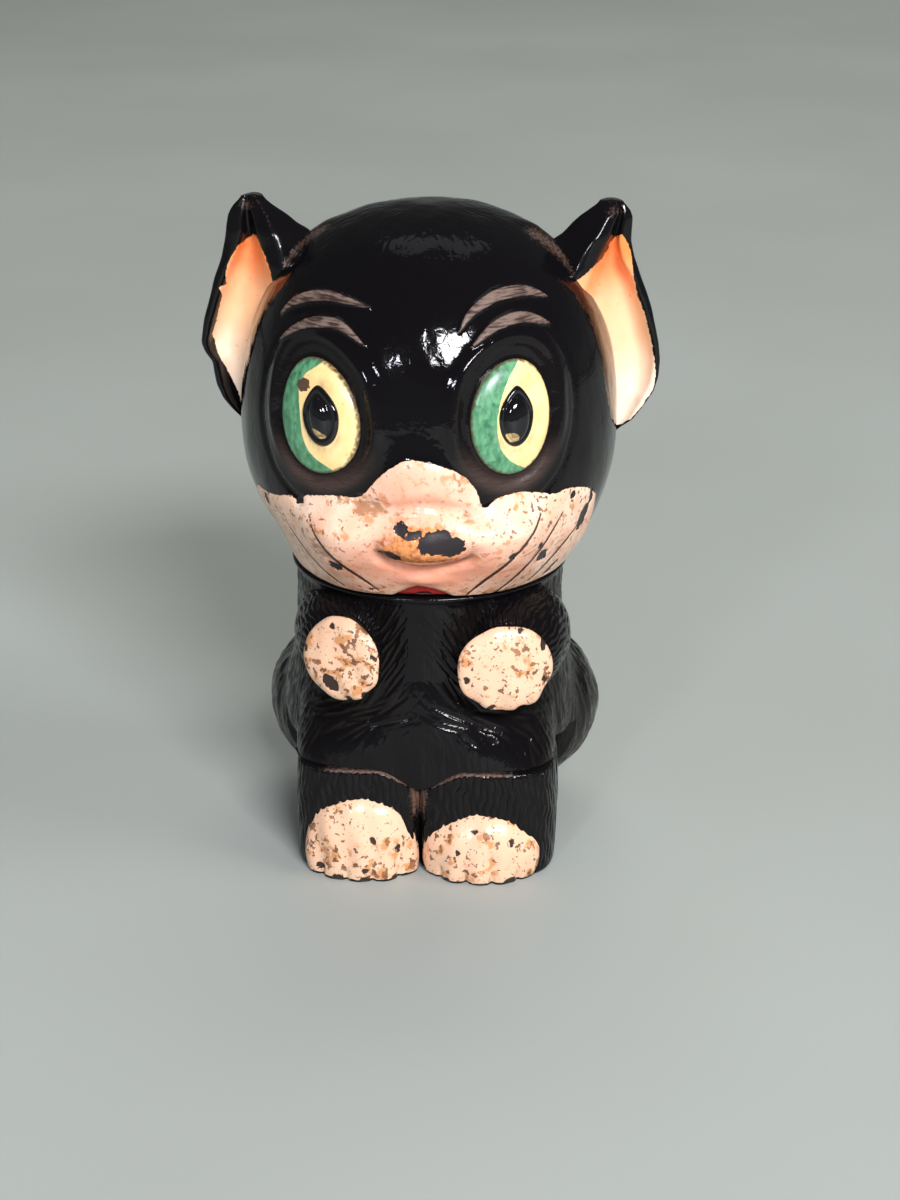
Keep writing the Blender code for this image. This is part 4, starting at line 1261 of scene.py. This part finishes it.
def make_foot(word, material):
    """A dome on the front of the leg, flat below, with shallow flutes between its toes."""
    low, high = node_box(f"{word}_foot")
    shift, wider, taller = FOOT_FIT[word]
    centre = np.array([(low[0] + high[0]) / 2 + shift, (low[1] + high[1]) / 2 + 0.1, 3.2])
    radii = ((high[0] - low[0]) / 2 + wider, (high[1] - low[1]) / 2 + 0.25, high[2] + taller)
    rings, local, _, _ = star(centre, radii, np.eye(3), 2.5, 190, 120)
    u, v = local[..., 0], local[..., 2]
    out = outward(rings)
    front = smoothstep(-out[..., 1], 0.1, 0.5)
    toes = 0.17 * np.cos(u * 2 * math.pi / 3.6) * smoothstep(v, 6.5, 0.0) * front
    notch = -0.45 * np.clip(-np.cos(u * 2 * math.pi / 3.6), 0, 1) ** 6 * smoothstep(v, -0.6, -2.6) * front
    chip = np.full(u.shape, -9.0)
    for cx, cz, wide, tall, tilt in FOOT[word]:
        chip = np.maximum(chip, oval(u - cx, v - cz, wide, tall, tilt))
    chip = np.where(front > 0.3, chip, -9.0)
    lift = 0.16 * waver(rings, 2.4, 4.0) + toes + notch - 0.1 * smoothstep(chip, -0.2, 0.2)
    rings = rings + out * lift[..., None]
    rings[..., 2] = np.maximum(rings[..., 2], 0.02)
    cream = np.minimum(front * 3 - 1.2, rings[..., 2] - 0.35)
    marks = {"cream": cream, "chip": chip, "groove": np.zeros(u.shape), "wear": np.zeros(u.shape)}
    first, last = rings[0].mean(axis=0), rings[-1].mean(axis=0)
    skin(f"{word}_foot_pad", rings, first, last, "body", material, marks, [f"{word}_foot"])


TAIL = [(0.0, 20.2, 3.6), (1.0, 23.8, 9.5), (2.2, 24.8, 15.5), (2.4, 23.6, 21.0), (1.4, 21.4, 26.2),
        (-1.4, 20.6, 30.2), (-4.8, 19.8, 32.4), (-8.4, 18.6, 31.6)]


def make_tail(material):
    line = spline(TAIL, 150)
    ahead = unit(np.gradient(line, axis=0))
    aside = unit(np.cross(ahead, (0, 1, 0.001)))
    up = np.cross(aside, ahead)
    steps = 72
    turn = np.arange(steps) / steps * 2 * math.pi
    share = np.linspace(0, 1, len(line))
    thick = (3.1 - 1.0 * share) * np.sqrt(np.clip(np.minimum(share, 1 - share) / 0.045, 0.02, 1))
    ring = aside[:, None] * np.cos(turn)[None, :, None] + up[:, None] * np.sin(turn)[None, :, None]
    rings = line[:, None] + ring * thick[:, None, None]
    rings = rings[:, ::-1]
    out = ring[:, ::-1]
    run = np.arange(len(line))[:, None] * 0.26
    groove = limb_comb(turn[None, ::-1] + 0 * run, run, 20 * 0.95 / (2 * math.pi))
    rings = rings + out * (-groove)[..., None]
    marks = {"groove": groove, "wear": np.zeros(groove.shape)}
    skin("cat_tail", rings, line[0], line[-1], "body", material, marks, ["tail"])


# ---------------------------------------------------------------- setting

CAMERA_ELEVATION = math.radians(22)
CAMERA_AZIMUTH = math.radians(4)
CAMERA_DISTANCE = 0.313
CAMERA_AIM = Vector((0.0028, 0.0, 0.0322))
FIELD_OF_VIEW = math.radians(30)  # along the picture's longer side


def around(azimuth, elevation, distance, aim=CAMERA_AIM):
    level = math.cos(elevation)
    way = (math.sin(azimuth) * level, -math.cos(azimuth) * level, math.sin(elevation))
    return aim + distance * Vector(way)


def aim_at(obj, target):
    obj.rotation_euler = (target - obj.location).to_track_quat("-Z", "Y").to_euler()


def make_camera():
    camera = bpy.data.objects.new("camera", bpy.data.cameras.new("camera"))
    camera.data.lens = camera.data.sensor_width / 2 / math.tan(FIELD_OF_VIEW / 2)
    camera.data.clip_start = 0.01
    camera.location = around(CAMERA_AZIMUTH, CAMERA_ELEVATION, CAMERA_DISTANCE)
    aim_at(camera, CAMERA_AIM)
    bpy.context.scene.collection.objects.link(camera)
    bpy.context.scene.camera = camera


def make_light(name, azimuth, elevation, distance, size, power, colour, mirrored=True):
    light = bpy.data.lights.new(name, "AREA")
    light.shape = "RECTANGLE"
    light.size, light.size_y = size
    light.energy = power
    light.color = colour
    obj = bpy.data.objects.new(name, light)
    obj.location = around(math.radians(azimuth), math.radians(elevation), distance)
    obj.visible_glossy = mirrored
    aim_at(obj, CAMERA_AIM)
    bpy.context.scene.collection.objects.link(obj)


def make_floor():
    shade = Shader("pale_floor")
    cloud = shade.noise(0.006, 3.0)
    colour = shade.mix(shade.ramp(cloud, 0.3, 0.7), (0.324, 0.346, 0.320), (0.350, 0.378, 0.352))
    material = shade.finish(colour, 0.55, shade.noise(0.4, 3.0, stretch=(1.0, 0.2, 1.0)), 0.02)
    mesh = bpy.data.meshes.new("floor")
    half = 3.0
    corners = [(-half, -half, 0), (half, -half, 0), (half, half, 0), (-half, half, 0)]
    mesh.from_pydata(corners, [], [(0, 1, 2, 3)])
    mesh.materials.append(material)
    floor = bpy.data.objects.new("floor", mesh)
    bpy.context.scene.collection.objects.link(floor)


def make_world():
    world = bpy.data.worlds.new("studio")
    bpy.context.scene.world = world
    world.use_nodes = True
    nodes, links = world.node_tree.nodes, world.node_tree.links
    background = nodes["Background"]
    background.inputs["Color"].default_value = (0.90, 0.93, 0.93, 1.0)
    height = nodes.new("ShaderNodeSeparateXYZ")
    links.new(nodes.new("ShaderNodeTexCoord").outputs["Generated"], height.inputs[0])
    sky = nodes.new("ShaderNodeMapRange")
    sky.interpolation_type = "SMOOTHSTEP"
    for name, value in (("From Min", 0.0), ("From Max", 0.40), ("To Min", 0.20), ("To Max", 0.07)):
        sky.inputs[name].default_value = value
    links.new(height.outputs["Z"], sky.inputs["Value"])
    links.new(sky.outputs["Result"], background.inputs["Strength"])


def main():
    make_camera()
    make_world()
    make_floor()
    make_light("window", 23, 35, 1.4, (0.50, 0.24), 25.0, (0.95, 0.94, 1.0))
    make_light("small_window", -17, 26, 1.4, (0.15, 0.13), 4.4, (0.86, 0.87, 1.0))
    make_light("skylight", 180, 68, 1.5, (0.9, 0.45), 0.6, (0.97, 0.98, 1.0))
    make_light("side_window", 78, 42, 1.6, (0.6, 0.5), 9.0, (1.0, 0.99, 0.95), mirrored=False)
    make_light("ceiling", 175, 50, 1.5, (1.2, 0.9), 9.0, (1.0, 0.99, 0.95), mirrored=False)
    make_light("front_fill", 8, 24, 1.3, (0.9, 0.6), 2.5, (1.0, 0.99, 0.96), mirrored=False)

    black = make_black("body_enamel", 0.13)
    make_head(make_head_paint())
    make_eyes(make_eye_paint(), make_pupil_paint())
    ear_paint = make_ear_paint()
    make_body(black)
    for side, word in ((-1, "left"), (1, "right")):
        make_ear(side, word, ear_paint)
        pad_paint = make_pad(f"{word}_pad_paint", (side * 13.0, 4.0, 0.0))
        make_foreleg(word, black, pad_paint)
        make_hind_leg(side, word, black)
        make_foot(word, pad_paint)
    make_tail(black)
    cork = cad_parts["cork_ring"]
    cork.data.materials.clear()
    cork.data.materials.append(make_cork())


main()
bpy.context.scene.view_settings.view_transform = "Standard"
